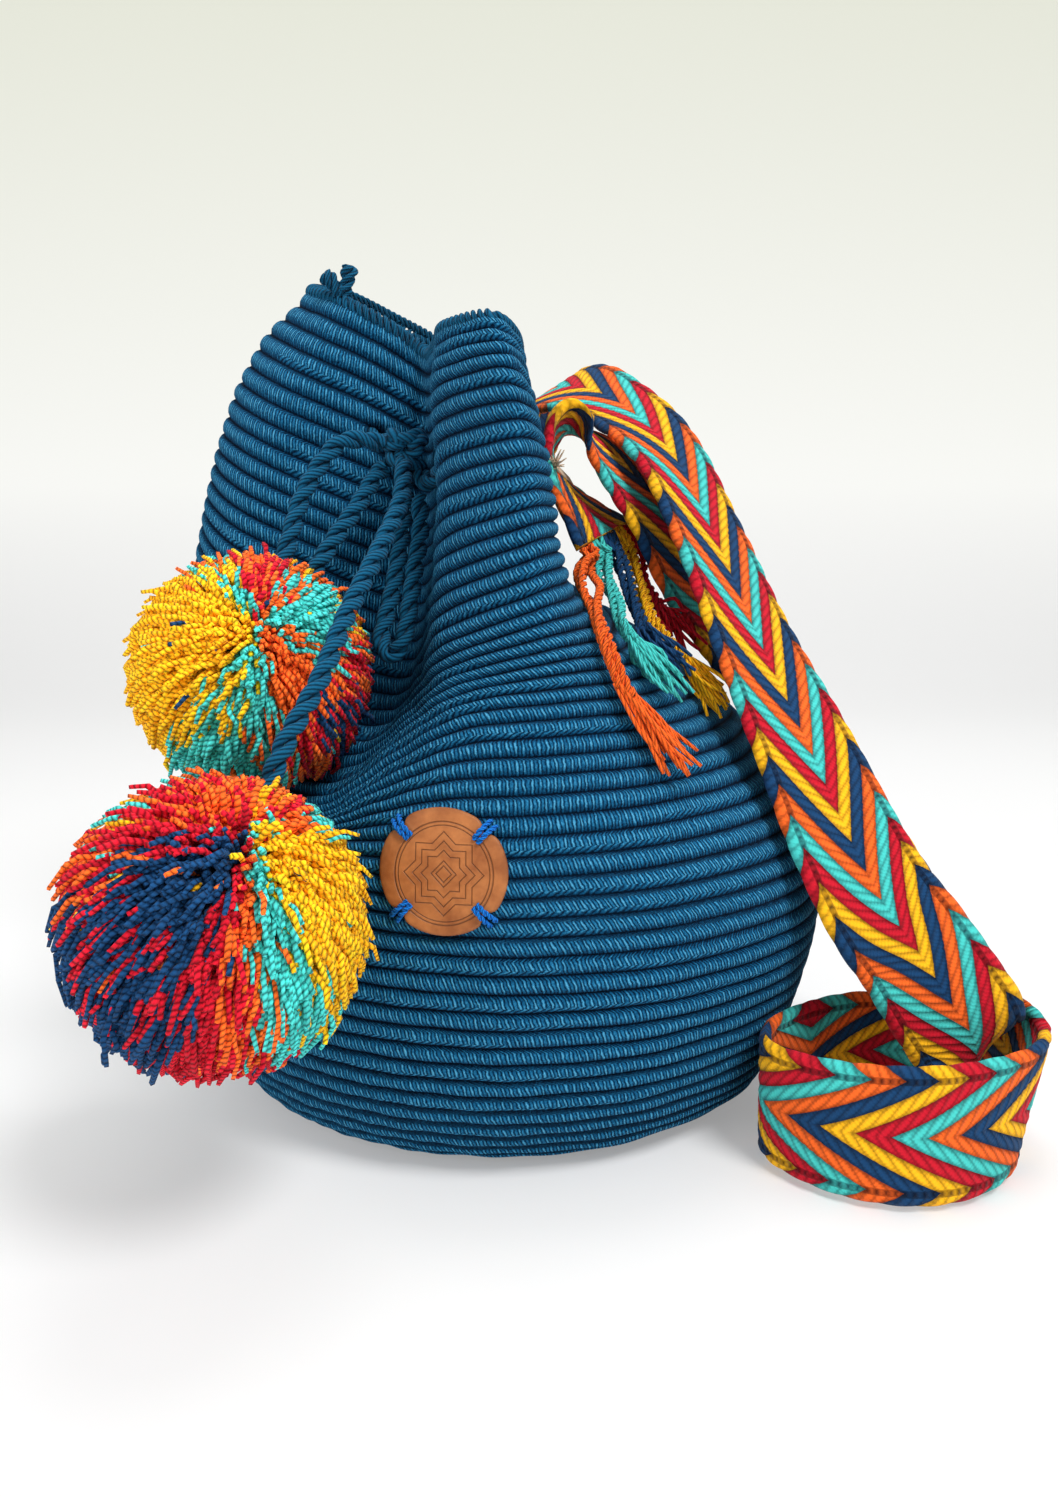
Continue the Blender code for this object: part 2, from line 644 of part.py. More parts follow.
def make_strap():
    """The woven band as one closed ribbon."""
    points = []
    for middle, _, across, face in zip(*band_frames(strap_places())):
        for share, side in SECTION:
            half = across * share * STRAP_WIDTH + face * side * STRAP_THICKNESS
            points.append(middle + half / 2)
    count = len(SECTION)
    levels = len(points) // count
    faces = [tuple(reversed(range(count)))]
    for level in range(levels - 1):
        row = level * count
        for k in range(count):
            other = (k + 1) % count
            faces.append((row + k, row + other, row + count + other, row + count + k))
    faces.append(tuple(range((levels - 1) * count, levels * count)))
    return add_mesh("shoulder_strap", points, faces, "orange")


def make_bar_tack(name, station, side):
    """The sewing thread that holds a strap end: a low bar across the band's face."""
    middle, _, across, face = (values[station] for values in band_frames(strap_places()))
    radius = BAR_TACK_HEIGHT / 2
    start = middle + face * side * (STRAP_THICKNESS / 2 + 2 * GAP + radius)
    shares = np.linspace(-0.5, 0.5, 5)
    line = [start + across * share * BAR_TACK_LENGTH for share in shares]
    return make_tube(name, line, [radius * (1 - 0.5 * abs(s)) for s in shares], "thread_beige")


def make_tassel(name, route, colour):
    """A plaited yarn end: thick in its upper half and spread at its tip."""
    line = smooth_line(route, even_places(route, 0.008))
    share = np.linspace(0, 1, len(line))
    radii = TASSEL_DIAMETER / 2 * (0.85 + 0.15 * np.cos(6 * share) + 0.25 * share**3)
    return make_tube(name, line, radii, colour, sides=7)


def near_tassel_route(share, places):
    middle, along, across, _ = (values[0] for values in band_frames(strap_places()))
    top = middle + across * share * STRAP_WIDTH / 2 - along * NEAR_TASSEL_GAP
    return np.vstack([top, top - along * TASSEL_LEAD, to_size(places)])


def far_tassel_route(number):
    """A route for one of the hidden far tassels, straight down from the strap's end."""
    middle, along, across, face = (values[-1] for values in band_frames(strap_places()))
    share = (number - 2) * FAR_TASSEL_SPREAD
    top = middle + across * share * STRAP_WIDTH / 2 + along * FAR_TASSEL_GAP
    drop = np.array(FAR_TASSEL_WAY) * FAR_TASSEL_LENGTH
    return [top, top + drop / 2 + face * FAR_TASSEL_SWAY, top + drop + across * share * FAR_TASSEL_FAN]


def make_rim_knot():
    """The yarn tail tied off on the rim: a knotted ball with its tail, as one lump."""
    base = wall_surface(RIM_KNOT_COLUMN, TOP) - WALL / 2 * wall_normal(RIM_KNOT_COLUMN, TOP)
    base[2] += RIM_KNOT_LIFT
    tail = base + np.array((-0.15, -0.10, 0.98)) * RIM_KNOT_LENGTH
    line = [base + (tail - base) * share for share in np.linspace(0, 1, 7)]
    swell = (0.35, 0.95, 1.0, 0.72, 0.80, 0.86, 0.45)
    return make_tube("rim_knot", line, [RIM_KNOT_WIDTH / 2 * s for s in swell], "wool_teal")


def main():
    clear_scene()
    body = make_bag_body()
    neck_line = neck_cord_line()
    cut_eyelets(body, neck_line)
    make_cord("drawstring_neck", neck_line)
    make_knot()
    front_centre = fallen_place(FRONT_POMPOM_START, FRONT_POMPOM_FALL, FRONT_POMPOM_DIAMETER / 2)
    back_centre = fallen_place(BACK_POMPOM_START, BACK_POMPOM_FALL, BACK_POMPOM_DIAMETER / 2)
    make_pompom("pompom_front", front_centre, FRONT_POMPOM_DIAMETER, "crimson")
    make_pompom("pompom_back", back_centre, BACK_POMPOM_DIAMETER, "yellow")
    front = to_pompom(from_knot(FRONT_CORD_ROUTE), front_centre, FRONT_POMPOM_DIAMETER)
    back = to_pompom(from_knot(BACK_CORD_ROUTE), back_centre, BACK_POMPOM_DIAMETER)
    back_again = to_pompom(from_knot(RETURN_CORD_ROUTE), back_centre, BACK_POMPOM_DIAMETER)
    make_cord("drawstring_end_front", front)
    make_cord("drawstring_end_back", back)
    make_cord("drawstring_return", back_again)
    make_cord("drawstring_loop", from_knot(LOOP_ROUTE))
    make_patch()
    make_patch_stitches()
    make_strap()
    make_bar_tack("strap_seam_near", NEAR_SEAM_ROW, -1)
    make_bar_tack("strap_seam_far", FAR_SEAM_ROW, 1)
    for number, (colour, (share, places)) in enumerate(NEAR_TASSELS.items()):
        make_tassel(f"tassel_near_{colour}", near_tassel_route(share, places), colour)
        make_tassel(f"tassel_far_{colour}", far_tassel_route(number), colour)
    make_rim_knot()


main()
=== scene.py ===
"""Looks of the crocheted drawstring bag: yarn, cords, pompoms, woven strap, leather patch and studio.

Each plain node of the frame gives way to a finished piece in its place. The rim's braid and its slack
edging are added on top. Lengths are metres, and colours are linear.
"""

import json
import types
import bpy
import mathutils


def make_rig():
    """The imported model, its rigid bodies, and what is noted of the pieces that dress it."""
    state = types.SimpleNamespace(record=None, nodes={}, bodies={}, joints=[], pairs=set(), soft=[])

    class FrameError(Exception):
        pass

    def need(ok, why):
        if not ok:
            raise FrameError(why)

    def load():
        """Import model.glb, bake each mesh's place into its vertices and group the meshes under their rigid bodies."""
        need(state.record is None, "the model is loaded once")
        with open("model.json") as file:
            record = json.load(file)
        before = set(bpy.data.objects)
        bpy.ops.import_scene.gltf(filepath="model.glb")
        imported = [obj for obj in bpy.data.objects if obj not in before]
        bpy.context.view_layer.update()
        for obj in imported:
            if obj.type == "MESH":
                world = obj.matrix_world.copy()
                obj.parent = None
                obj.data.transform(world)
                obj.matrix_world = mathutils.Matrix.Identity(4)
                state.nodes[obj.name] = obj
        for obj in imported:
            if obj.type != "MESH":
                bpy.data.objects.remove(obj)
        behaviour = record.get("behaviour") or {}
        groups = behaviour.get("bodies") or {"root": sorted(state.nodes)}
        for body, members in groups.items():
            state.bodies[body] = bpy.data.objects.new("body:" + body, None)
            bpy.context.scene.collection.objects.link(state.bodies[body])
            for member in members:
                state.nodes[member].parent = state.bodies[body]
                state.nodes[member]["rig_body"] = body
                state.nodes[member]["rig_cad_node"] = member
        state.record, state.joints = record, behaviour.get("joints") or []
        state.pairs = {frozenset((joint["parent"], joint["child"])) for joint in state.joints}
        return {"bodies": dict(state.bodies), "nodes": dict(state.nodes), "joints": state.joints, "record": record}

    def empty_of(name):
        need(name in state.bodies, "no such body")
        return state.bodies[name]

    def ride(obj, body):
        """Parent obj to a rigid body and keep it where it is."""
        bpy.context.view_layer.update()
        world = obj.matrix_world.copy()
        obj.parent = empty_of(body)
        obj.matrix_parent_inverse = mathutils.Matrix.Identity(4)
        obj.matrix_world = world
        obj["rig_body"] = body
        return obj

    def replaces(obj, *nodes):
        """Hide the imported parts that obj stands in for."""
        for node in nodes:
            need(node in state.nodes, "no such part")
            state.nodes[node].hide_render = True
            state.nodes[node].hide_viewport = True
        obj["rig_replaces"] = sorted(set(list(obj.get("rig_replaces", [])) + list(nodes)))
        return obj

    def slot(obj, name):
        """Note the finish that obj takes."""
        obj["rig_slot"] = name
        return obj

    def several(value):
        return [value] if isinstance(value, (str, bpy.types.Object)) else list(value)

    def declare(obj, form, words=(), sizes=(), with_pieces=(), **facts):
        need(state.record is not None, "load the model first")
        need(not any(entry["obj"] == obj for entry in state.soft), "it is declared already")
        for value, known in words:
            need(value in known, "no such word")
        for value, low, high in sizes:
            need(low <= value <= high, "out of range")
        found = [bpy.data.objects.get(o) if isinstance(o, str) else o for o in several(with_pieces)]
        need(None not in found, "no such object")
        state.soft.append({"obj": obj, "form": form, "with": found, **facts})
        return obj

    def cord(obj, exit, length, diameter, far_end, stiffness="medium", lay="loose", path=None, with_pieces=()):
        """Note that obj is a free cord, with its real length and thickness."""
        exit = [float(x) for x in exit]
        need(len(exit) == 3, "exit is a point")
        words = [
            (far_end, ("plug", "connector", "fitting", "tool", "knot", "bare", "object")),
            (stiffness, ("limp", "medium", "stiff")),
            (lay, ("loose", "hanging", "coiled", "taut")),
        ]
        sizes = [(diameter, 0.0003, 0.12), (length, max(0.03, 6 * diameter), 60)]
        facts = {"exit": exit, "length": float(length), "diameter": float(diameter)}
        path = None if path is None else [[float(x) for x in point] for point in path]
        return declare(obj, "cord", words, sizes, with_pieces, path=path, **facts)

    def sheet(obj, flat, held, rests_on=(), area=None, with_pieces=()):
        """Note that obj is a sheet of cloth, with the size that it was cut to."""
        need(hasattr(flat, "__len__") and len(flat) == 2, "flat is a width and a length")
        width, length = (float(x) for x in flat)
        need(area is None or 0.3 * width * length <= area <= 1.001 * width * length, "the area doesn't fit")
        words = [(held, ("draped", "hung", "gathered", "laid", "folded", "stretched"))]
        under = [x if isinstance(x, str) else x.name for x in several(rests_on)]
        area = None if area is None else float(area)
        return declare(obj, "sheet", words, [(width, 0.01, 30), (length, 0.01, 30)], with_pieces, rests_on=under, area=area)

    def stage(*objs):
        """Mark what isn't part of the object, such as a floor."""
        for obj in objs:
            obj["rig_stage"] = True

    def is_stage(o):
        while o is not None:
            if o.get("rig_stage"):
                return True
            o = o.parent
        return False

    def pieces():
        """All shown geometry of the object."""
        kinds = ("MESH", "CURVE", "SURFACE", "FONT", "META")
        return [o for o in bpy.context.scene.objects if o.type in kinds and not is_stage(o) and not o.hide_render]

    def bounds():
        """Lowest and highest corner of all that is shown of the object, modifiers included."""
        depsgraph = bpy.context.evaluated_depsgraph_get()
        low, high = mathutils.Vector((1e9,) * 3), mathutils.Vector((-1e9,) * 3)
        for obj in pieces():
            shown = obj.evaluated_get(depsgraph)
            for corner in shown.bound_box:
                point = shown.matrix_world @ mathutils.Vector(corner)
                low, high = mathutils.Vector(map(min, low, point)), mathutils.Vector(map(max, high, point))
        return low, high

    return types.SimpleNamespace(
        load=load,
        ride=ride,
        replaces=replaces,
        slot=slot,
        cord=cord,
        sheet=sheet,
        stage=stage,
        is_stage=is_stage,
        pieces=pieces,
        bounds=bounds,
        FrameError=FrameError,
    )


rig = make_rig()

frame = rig.load()
CAD_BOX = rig.bounds()

import json
import math

import bpy
import numpy as np
from mathutils import Vector
from mathutils.bvhtree import BVHTree

# Sizes of the real pieces, as the frame has them. A twisted yarn has a diameter and a twist length
BAG_SIZE = (0.254, 0.236, 0.323)
BASE_WIDTH = 0.176
WALL = 0.004
ROUND_PITCH = 0.0064
STITCH_PITCH = 0.0013
GROOVE_DEPTH = 0.0018
EYELET_RADIUS = 0.0048
EYELET_DEPTH = 0.0038
WALL_WOBBLE = 0.00035
RIM_BRAID = (0.0066, 0.0095)
SLACK_BRAID = (0.0044, 0.0080)
CHAIN_YARN = (0.0026, 0.0060)
RIM_TUFT = (0.0072, 0.0120)
RIM_TUFT_LENGTH = 0.0118
STRAP_WIDTH = 0.046
STRAP_THICKNESS = 0.0045
SELVEDGE_SHARE = 0.40
SELVEDGE_SLOPE = 1.5
SEAM_WIDTH = 0.034
SEAM_THREAD_RADIUS = 0.0006
CORD_DIAMETER = 0.007
CORD_TWIST = 0.017
YARN_DIAMETER = 0.0018
FRINGE_YARN = (0.0034, 0.0085)
FRINGE_LOOSE_ENDS = 18
PATCH_SIZE = (0.041, 0.039)
PATCH_THICKNESS = 0.0018
PATCH_NOTCH = 0.0022
PATCH_THREAD = (0.0019, 0.0045)
PATCH_PLACE = (-0.017, 0.113)

# Yarn, thread and leather colours
YARN = {
    "orange": (0.860, 0.130, 0.018), "turquoise": (0.060, 0.540, 0.500),
    "yellow": (0.940, 0.470, 0.012), "crimson": (0.540, 0.009, 0.024),
    "navy": (0.008, 0.048, 0.135),
}
# The darkest teal is painted shade for the grooves between rounds and the eyelet holes; the ramp's top stop is a
# painted highlight for the crests
TEAL_PAINTED_SHADE = (0.0004, 0.004, 0.015)
TEAL_PATCH = (0.003, 0.045, 0.115)
TEAL_STOPS = (
    (0.0, TEAL_PAINTED_SHADE), (0.27, (0.003, 0.062, 0.155)), (0.58, (0.010, 0.140, 0.300)),
    (0.82, (0.036, 0.275, 0.520)), (1.0, (0.095, 0.430, 0.700)),
)
CORD_BLUE = (0.004, 0.060, 0.122)
STITCH_BLUE = (0.010, 0.170, 0.600)
SEAM_BEIGE = (0.620, 0.470, 0.330)
TAN_DARK, TAN_LIGHT = (0.300, 0.085, 0.018), (0.560, 0.200, 0.055)
TAN_PRESSED, TAN_RIM = (0.070, 0.018, 0.006), (0.160, 0.045, 0.012)

# Headings round the bag of the fifteen columns of control points, in degrees from +X
HEADINGS = (10, 45, 85, 115, 145, 172, 196, 212, 225, 235, 246, 258, 274, 298, 330)

# Even rings of the lower bag: centre across and deep, half width, half depth, height, tilt
LOWER_RINGS = (
    (0.000, 0.000, 0.500 * BASE_WIDTH, 0.490 * BASE_WIDTH, 0.000, 0.00),
    (0.000, -0.002, 0.434 * BAG_SIZE[0], 0.432 * BAG_SIZE[1], 0.028 * BAG_SIZE[2], 0.00),
    (0.002, -0.004, 0.473 * BAG_SIZE[0], 0.483 * BAG_SIZE[1], 0.118 * BAG_SIZE[2], 0.00),
    (0.006, -0.004, 0.492 * BAG_SIZE[0], 0.500 * BAG_SIZE[1], 0.257 * BAG_SIZE[2], 0.00),
    (0.002, -0.002, 0.455 * BAG_SIZE[0], 0.485 * BAG_SIZE[1], 0.360 * BAG_SIZE[2], 0.03),
)

# Slumped rings above the belly, a column each: across and deep in hundredths of the belly's
# half width and half depth, and up in hundredths of the bag's height
SLUMPED_RINGS = (
    (
        (66, 21, 50), (50, 59, 52), (0, 85, 53), (-54, 83, 54), (-88, 60, 54),
        (-102, 20, 52), (-98, -14, 47), (-81, -36, 41), (-61, -55, 39), (-46, -66, 40),
        (-28, -74, 45), (-9, -83, 49), (17, -83, 50), (41, -63, 50), (58, -24, 50),
    ),
    (
        (17, 25, 63), (15, 59, 64), (-8, 81, 65), (-58, 83, 66), (-91, 66, 66),
        (-105, 30, 65), (-94, 2, 60), (-70, -6, 55), (-48, -11, 51), (-32, -18, 50),
        (-24, -38, 53), (-16, -61, 57), (10, -76, 61), (20, -55, 62), (19, -12, 62),
    ),
    (
        (8, 27, 76), (3, 59, 77), (-14, 78, 79), (-55, 81, 80), (-84, 70, 81),
        (-97, 36, 81), (-82, 10, 77), (-54, 8, 72), (-33, 14, 69), (-26, 10, 68),
        (-19, -21, 70), (-16, -51, 73), (6, -71, 75), (14, -48, 75), (11, -8, 75),
    ),
    (
        (5, 27, 82), (1, 61, 84), (-14, 80, 87), (-49, 81, 90), (-76, 70, 92),
        (-85, 39, 92), (-69, 14, 88), (-46, 12, 84), (-31, 15, 81), (-25, 12, 80),
        (-20, -19, 81), (-18, -47, 83), (2, -68, 84), (9, -47, 83), (8, -9, 82),
    ),
    (
        (4, 27, 88), (0, 59, 89), (-16, 76, 93), (-41, 78, 97), (-62, 66, 101),
        (-66, 41, 100), (-52, 20, 97), (-38, 17, 94), (-30, 19, 92), (-25, 12, 90),
        (-20, -17, 90), (-16, -41, 90), (-2, -58, 90), (5, -44, 89), (6, -10, 88),
    ),
)

# Routes of the free cords, from the knot down
FRONT_CORD_ROUTE = (
    (-0.0371, -0.0239, 0.2455), (-0.0367, -0.0300, 0.2420), (-0.0370, -0.0420, 0.2300),
    (-0.0420, -0.0620, 0.2140), (-0.0500, -0.0870, 0.1930), (-0.0560, -0.1050, 0.1740),
    (-0.0650, -0.1200, 0.1550), (-0.0697, -0.1250, 0.1418),
)
BACK_CORD_ROUTE = (
    (-0.0453, -0.0191, 0.2525), (-0.0500, -0.0210, 0.2540), (-0.0600, -0.0260, 0.2530),
    (-0.0680, -0.0300, 0.2440), (-0.0740, -0.0350, 0.2320), (-0.0770, -0.0410, 0.2200),
    (-0.0799, -0.0484, 0.2059),
)
RETURN_CORD_ROUTE = (
    (-0.0444, -0.0183, 0.2444), (-0.0480, -0.0195, 0.2415), (-0.0545, -0.0300, 0.2290),
    (-0.0620, -0.0385, 0.2170), (-0.0703, -0.0478, 0.2018),
)
LOOP_ROUTE = (
    (-0.0375, -0.0152, 0.2392), (-0.0375, -0.0150, 0.2360), (-0.0380, -0.0220, 0.2220),
    (-0.0395, -0.0310, 0.2080), (-0.0415, -0.0380, 0.1950), (-0.0437, -0.0440, 0.1855),
    (-0.0440, -0.0475, 0.1795), (-0.0412, -0.0495, 0.1758), (-0.0375, -0.0495, 0.1778),
    (-0.0352, -0.0475, 0.1840), (-0.0338, -0.0425, 0.1945),
    (-0.0325, -0.0350, 0.2070), (-0.0310, -0.0270, 0.2200), (-0.0318, -0.0215, 0.2330),
)
NECK_CORD_ROUTE = (
    (8.45, 7.60, 1), (7.85, 7.72, 1), (7.35, 7.75, 0), (6.9, 7.72, -1),
    (6.2, 7.6, -1), (5.2, 7.5, -1), (4.6, 7.5, 0), (4.1, 7.5, 1), (3.4, 7.5, 1),
    (2.9, 7.5, 0), (2.4, 7.5, -1), (1.8, 7.5, -1), (1.3, 7.5, 0), (0.85, 7.5, 1),
    (0.4, 7.5, 0), (-0.1, 7.5, -1), (-1.0, 7.5, -1), (-1.7, 7.5, -1), (-2.3, 7.5, -1),
    (-3.0, 7.5, -1), (-3.7, 7.5, -1), (-4.3, 7.4, -1), (-4.72, 7.35, 0), (-5.0, 7.3, 1),
)
NECK_CORD_ENDS = ((-0.0385, -0.0065, 0.2470), (-0.0312, -0.0197, 0.2422))
KNOT_PLACE = (-0.0375, -0.016, 0.250)

# The strap from its sewn near end to its sewn far end, a row each: the middle of the band,
# and the way its width points
STRAP_ROUTE = (
    ((0.040, -0.003, 0.219), (0.80, 0.55, -0.25)),
    ((0.0255, 0.001, 0.236), (0.35, 0.93, -0.10)),
    ((0.0185, 0.004, 0.248), (0.05, 0.99, -0.12)),
    ((0.0185, 0.006, 0.257), (0.00, 0.97, -0.22)),
    ((0.026, 0.009, 0.262), (0.15, 0.96, -0.22)),
    ((0.037, 0.011, 0.2555), (0.42, 0.90, -0.04)),
    ((0.0535, 0.009, 0.240), (0.60, 0.78, 0.12)),
    ((0.0665, 0.005, 0.225), (0.70, 0.66, 0.16)),
    ((0.077, 0.003, 0.206), (0.70, 0.64, 0.26)),
    ((0.089, 0.003, 0.187), (0.66, 0.68, 0.32)),
    ((0.103, 0.001, 0.166), (0.56, 0.78, 0.28)),
    ((0.121, -0.008, 0.147), (0.34, 0.92, 0.18)),
    ((0.140, -0.021, 0.127), (0.16, 0.98, 0.12)),
    ((0.155, -0.031, 0.104), (0.10, 0.99, 0.08)),
    ((0.168, -0.039, 0.079), (0.10, 0.98, -0.08)),
    ((0.180, -0.045, 0.054), (0.16, 0.83, -0.50)),
    ((0.190, -0.058, 0.033), (-0.02, 0.38, -0.92)),
    ((0.1905, -0.078, 0.025), (-0.22, 0.05, -0.97)),
    ((0.181, -0.0995, 0.025), (-0.18, -0.06, -0.98)),
    ((0.161, -0.115, 0.025), (-0.08, -0.14, -0.98)),
    ((0.137, -0.121, 0.025), (-0.02, -0.16, -0.99)),
    ((0.112, -0.115, 0.025), (0.06, -0.10, -0.99)),
    ((0.0945, -0.099, 0.025), (0.06, 0.00, -1.00)),
    ((0.0965, -0.081, 0.025), (0.00, 0.00, -1.00)),
    ((0.112, -0.066, 0.025), (0.00, 0.00, -1.00)),
    ((0.133, -0.056, 0.025), (0.00, 0.00, -1.00)),
    ((0.156, -0.055, 0.025), (0.00, 0.00, -1.00)),
    ((0.168, -0.060, 0.0255), (-0.08, 0.00, -1.00)),
    ((0.1735, -0.071, 0.028), (-0.30, -0.05, -0.95)),
    ((0.1700, -0.081, 0.034), (-0.58, -0.10, -0.81)),
    ((0.166, -0.0855, 0.045), (-0.74, -0.12, -0.65)),
    ((0.156, -0.0845, 0.060), (-0.84, -0.16, -0.50)),
    ((0.146, -0.082, 0.075), (-0.86, -0.24, -0.42)),
    ((0.134, -0.080, 0.091), (-0.84, -0.33, -0.42)),
    ((0.123, -0.074, 0.112), (-0.79, -0.45, -0.41)),
    ((0.110, -0.057, 0.144), (-0.70, -0.60, -0.37)),
    ((0.095, -0.036, 0.180), (-0.58, -0.74, -0.33)),
    ((0.081, -0.013, 0.218), (-0.48, -0.81, -0.34)),
    ((0.068, 0.010, 0.249), (-0.40, -0.84, -0.37)),
    ((0.053, 0.032, 0.269), (-0.32, -0.84, -0.44)),
    ((0.036, 0.053, 0.281), (-0.32, -0.83, -0.46)),
    ((0.022, 0.077, 0.284), (-0.55, -0.68, -0.46)),
    ((0.012, 0.099, 0.277), (-0.76, -0.52, -0.36)),
    ((0.001, 0.112, 0.263), (-0.92, -0.34, -0.18)),
    ((-0.008, 0.115, 0.244), (-0.98, -0.20, -0.04)),
    ((-0.013, 0.113, 0.225), (-1.00, 0.00, 0.00)),
    ((-0.015, 0.116, 0.207), (-1.00, 0.00, 0.00)),
)
STRIPE_PITCH = 0.0112
STRIPE_SLOPE = 2.05
STRIPE_START = 2.4
STRIPE_COLOURS = ("turquoise", "orange", "navy", "yellow", "crimson")

# Routes of the plaited yarn ends, near and far, by colour
TASSELS = {
    "tassel_near_orange": (
        (0.0326, -0.0169, 0.2136), (0.0352, -0.0176, 0.2107), (0.0315, -0.0270, 0.2060),
        (0.0325, -0.0520, 0.1970), (0.0345, -0.0810, 0.1860), (0.0405, -0.0890, 0.1700),
        (0.0505, -0.0905, 0.1545), (0.0600, -0.0920, 0.1415),
    ),
    "tassel_near_turquoise": (
        (0.0369, -0.0099, 0.2158), (0.0395, -0.0106, 0.2128), (0.0395, -0.0260, 0.2040),
        (0.0420, -0.0480, 0.1940), (0.0430, -0.0630, 0.1875), (0.0500, -0.0700, 0.1765),
        (0.0590, -0.0695, 0.1670),
    ),
    "tassel_near_navy": (
        (0.0416, -0.0023, 0.2181), (0.0442, -0.0030, 0.2151), (0.0480, -0.0200, 0.2020),
        (0.0520, -0.0420, 0.1860), (0.0580, -0.0500, 0.1770), (0.0645, -0.0545, 0.1705),
    ),
    "tassel_near_yellow": (
        (0.0457, 0.0043, 0.2201), (0.0483, 0.0036, 0.2172), (0.0535, -0.0125, 0.2000),
        (0.0575, -0.0260, 0.1870), (0.0640, -0.0365, 0.1780), (0.0725, -0.0440, 0.1690),
        (0.0820, -0.0480, 0.1570),
    ),
    "tassel_near_crimson": (
        (0.0492, 0.0100, 0.2219), (0.0518, 0.0093, 0.2189), (0.0570, -0.0055, 0.1990),
        (0.0650, -0.0180, 0.1870), (0.0705, -0.0225, 0.1790),
    ),
    "tassel_far_orange": (
        (0.0033, 0.1164, 0.2049), (0.0033, 0.1228, 0.1807), (0.0113, 0.1216, 0.1542),
    ),
    "tassel_far_turquoise": (
        (-0.0059, 0.1163, 0.2057), (-0.0059, 0.1227, 0.1815), (-0.0019, 0.1213, 0.1554),
    ),
    "tassel_far_navy": (
        (-0.0150, 0.1161, 0.2065), (-0.0150, 0.1225, 0.1823), (-0.0150, 0.1211, 0.1565),
    ),
    "tassel_far_yellow": (
        (-0.0242, 0.1159, 0.2073), (-0.0242, 0.1224, 0.1831), (-0.0282, 0.1209, 0.1577),
    ),
    "tassel_far_crimson": (
        (-0.0334, 0.1158, 0.2081), (-0.0334, 0.1222, 0.1839), (-0.0413, 0.1206, 0.1588),
    ),
}

# Pompoms: middle, radius, number of yarns, where the yarns part (right, up, towards the viewer),
# and sectors round that place: end of the sector in degrees, colours near it, colours far out
POMPOMS = {
    "pompom_front": ((-0.0831, -0.1395, 0.1040), 0.0430, 6700, (0.24, 0.62, 0.745), (
        (-172, "crimson", "crimson orange turquoise"), (-160, "navy crimson", "crimson orange"),
        (-112, "navy", "navy navy navy crimson"), (-101, "crimson", "crimson"),
        (-90, "orange", "orange orange crimson"), (-74, "turquoise", "turquoise"),
        (-8, "yellow", "yellow"), (10, "orange turquoise", "yellow turquoise"),
        (35, "orange crimson", "turquoise yellow orange"), (75, "orange yellow", "yellow orange turquoise"),
        (120, "orange crimson", "orange turquoise"), (150, "orange orange crimson", "orange turquoise"),
        (181, "crimson crimson orange", "turquoise orange yellow"),
    )),
    "pompom_back": ((-0.0870, -0.0667, 0.1708), 0.0400, 5900, (0.05, 0.43, 0.90), (
        (-124, "yellow", "yellow"), (-98, "yellow turquoise", "turquoise"),
        (-80, "turquoise", "turquoise orange"),
        (-62, "orange", "crimson orange"), (-40, "orange", "navy navy crimson"),
        (-12, "orange turquoise", "crimson orange"), (30, "turquoise", "turquoise orange yellow"),
        (60, "turquoise orange", "orange yellow"), (105, "orange crimson", "orange orange crimson"),
        (140, "yellow turquoise", "turquoise orange"), (181, "yellow", "yellow"),
    )),
}
CAMERA_PLACE = (0.010, -0.460, 0.2155)
CAMERA_TILT = 79.7
CAMERA_LENS = 27.05


def unit(vector):
    length = np.linalg.norm(vector, axis=-1, keepdims=True)
    return vector / np.maximum(length, 1e-12)


def blend4(a, b, c, d, t):
    """A smooth curve from b to c, t running from 0 to 1, with a before and d after."""
    return 0.5 * (
        2 * b + (c - a) * t + (2 * a - 5 * b + 4 * c - d) * t**2 + (3 * b - a - 3 * c + d) * t**3
    )


def smooth_line(route, at):
    """Points of the smooth curve through the route's points, at places counted in spans."""
    route = np.asarray(route, float)
    padded = np.vstack([2 * route[0] - route[1], route, 2 * route[-1] - route[-2]])
    span = np.clip(np.floor(at).astype(int), 0, len(route) - 2)
    t = (np.asarray(at) - span)[:, None]
    return blend4(padded[span], padded[span + 1], padded[span + 2], padded[span + 3], t)


def lengths_along(line):
    """The length of the line up to each of its points."""
    return np.concatenate([[0], np.cumsum(np.linalg.norm(np.diff(line, axis=0), axis=1))])


def even_places(route, step):
    """Places along a route, about a step apart in length."""
    fine = np.linspace(0, len(route) - 1, 40 * len(route))
    along = lengths_along(smooth_line(route, fine))
    count = max(2, round(along[-1] / step))
    return np.interp(np.linspace(0, along[-1], count + 1), along, fine)


def even_line(route, step):
    return smooth_line(route, even_places(route, step))


def even_ring(across, deep, half_width, half_depth, up, tilt):
    angle = np.radians(HEADINGS)
    x = across + half_width * np.cos(angle)
    y = deep + half_depth * np.sin(angle)
    return np.stack([x, y, up + tilt * (x - across)], axis=1)


def control_net():
    slumped = [np.array(rows) / 100 * np.array(BAG_SIZE) * (0.5, 0.5, 1) for rows in SLUMPED_RINGS]
    return np.array([even_ring(*row) for row in LOWER_RINGS] + slumped)


NET = control_net()
COLUMNS = len(HEADINGS)
TOP = len(NET) - 1


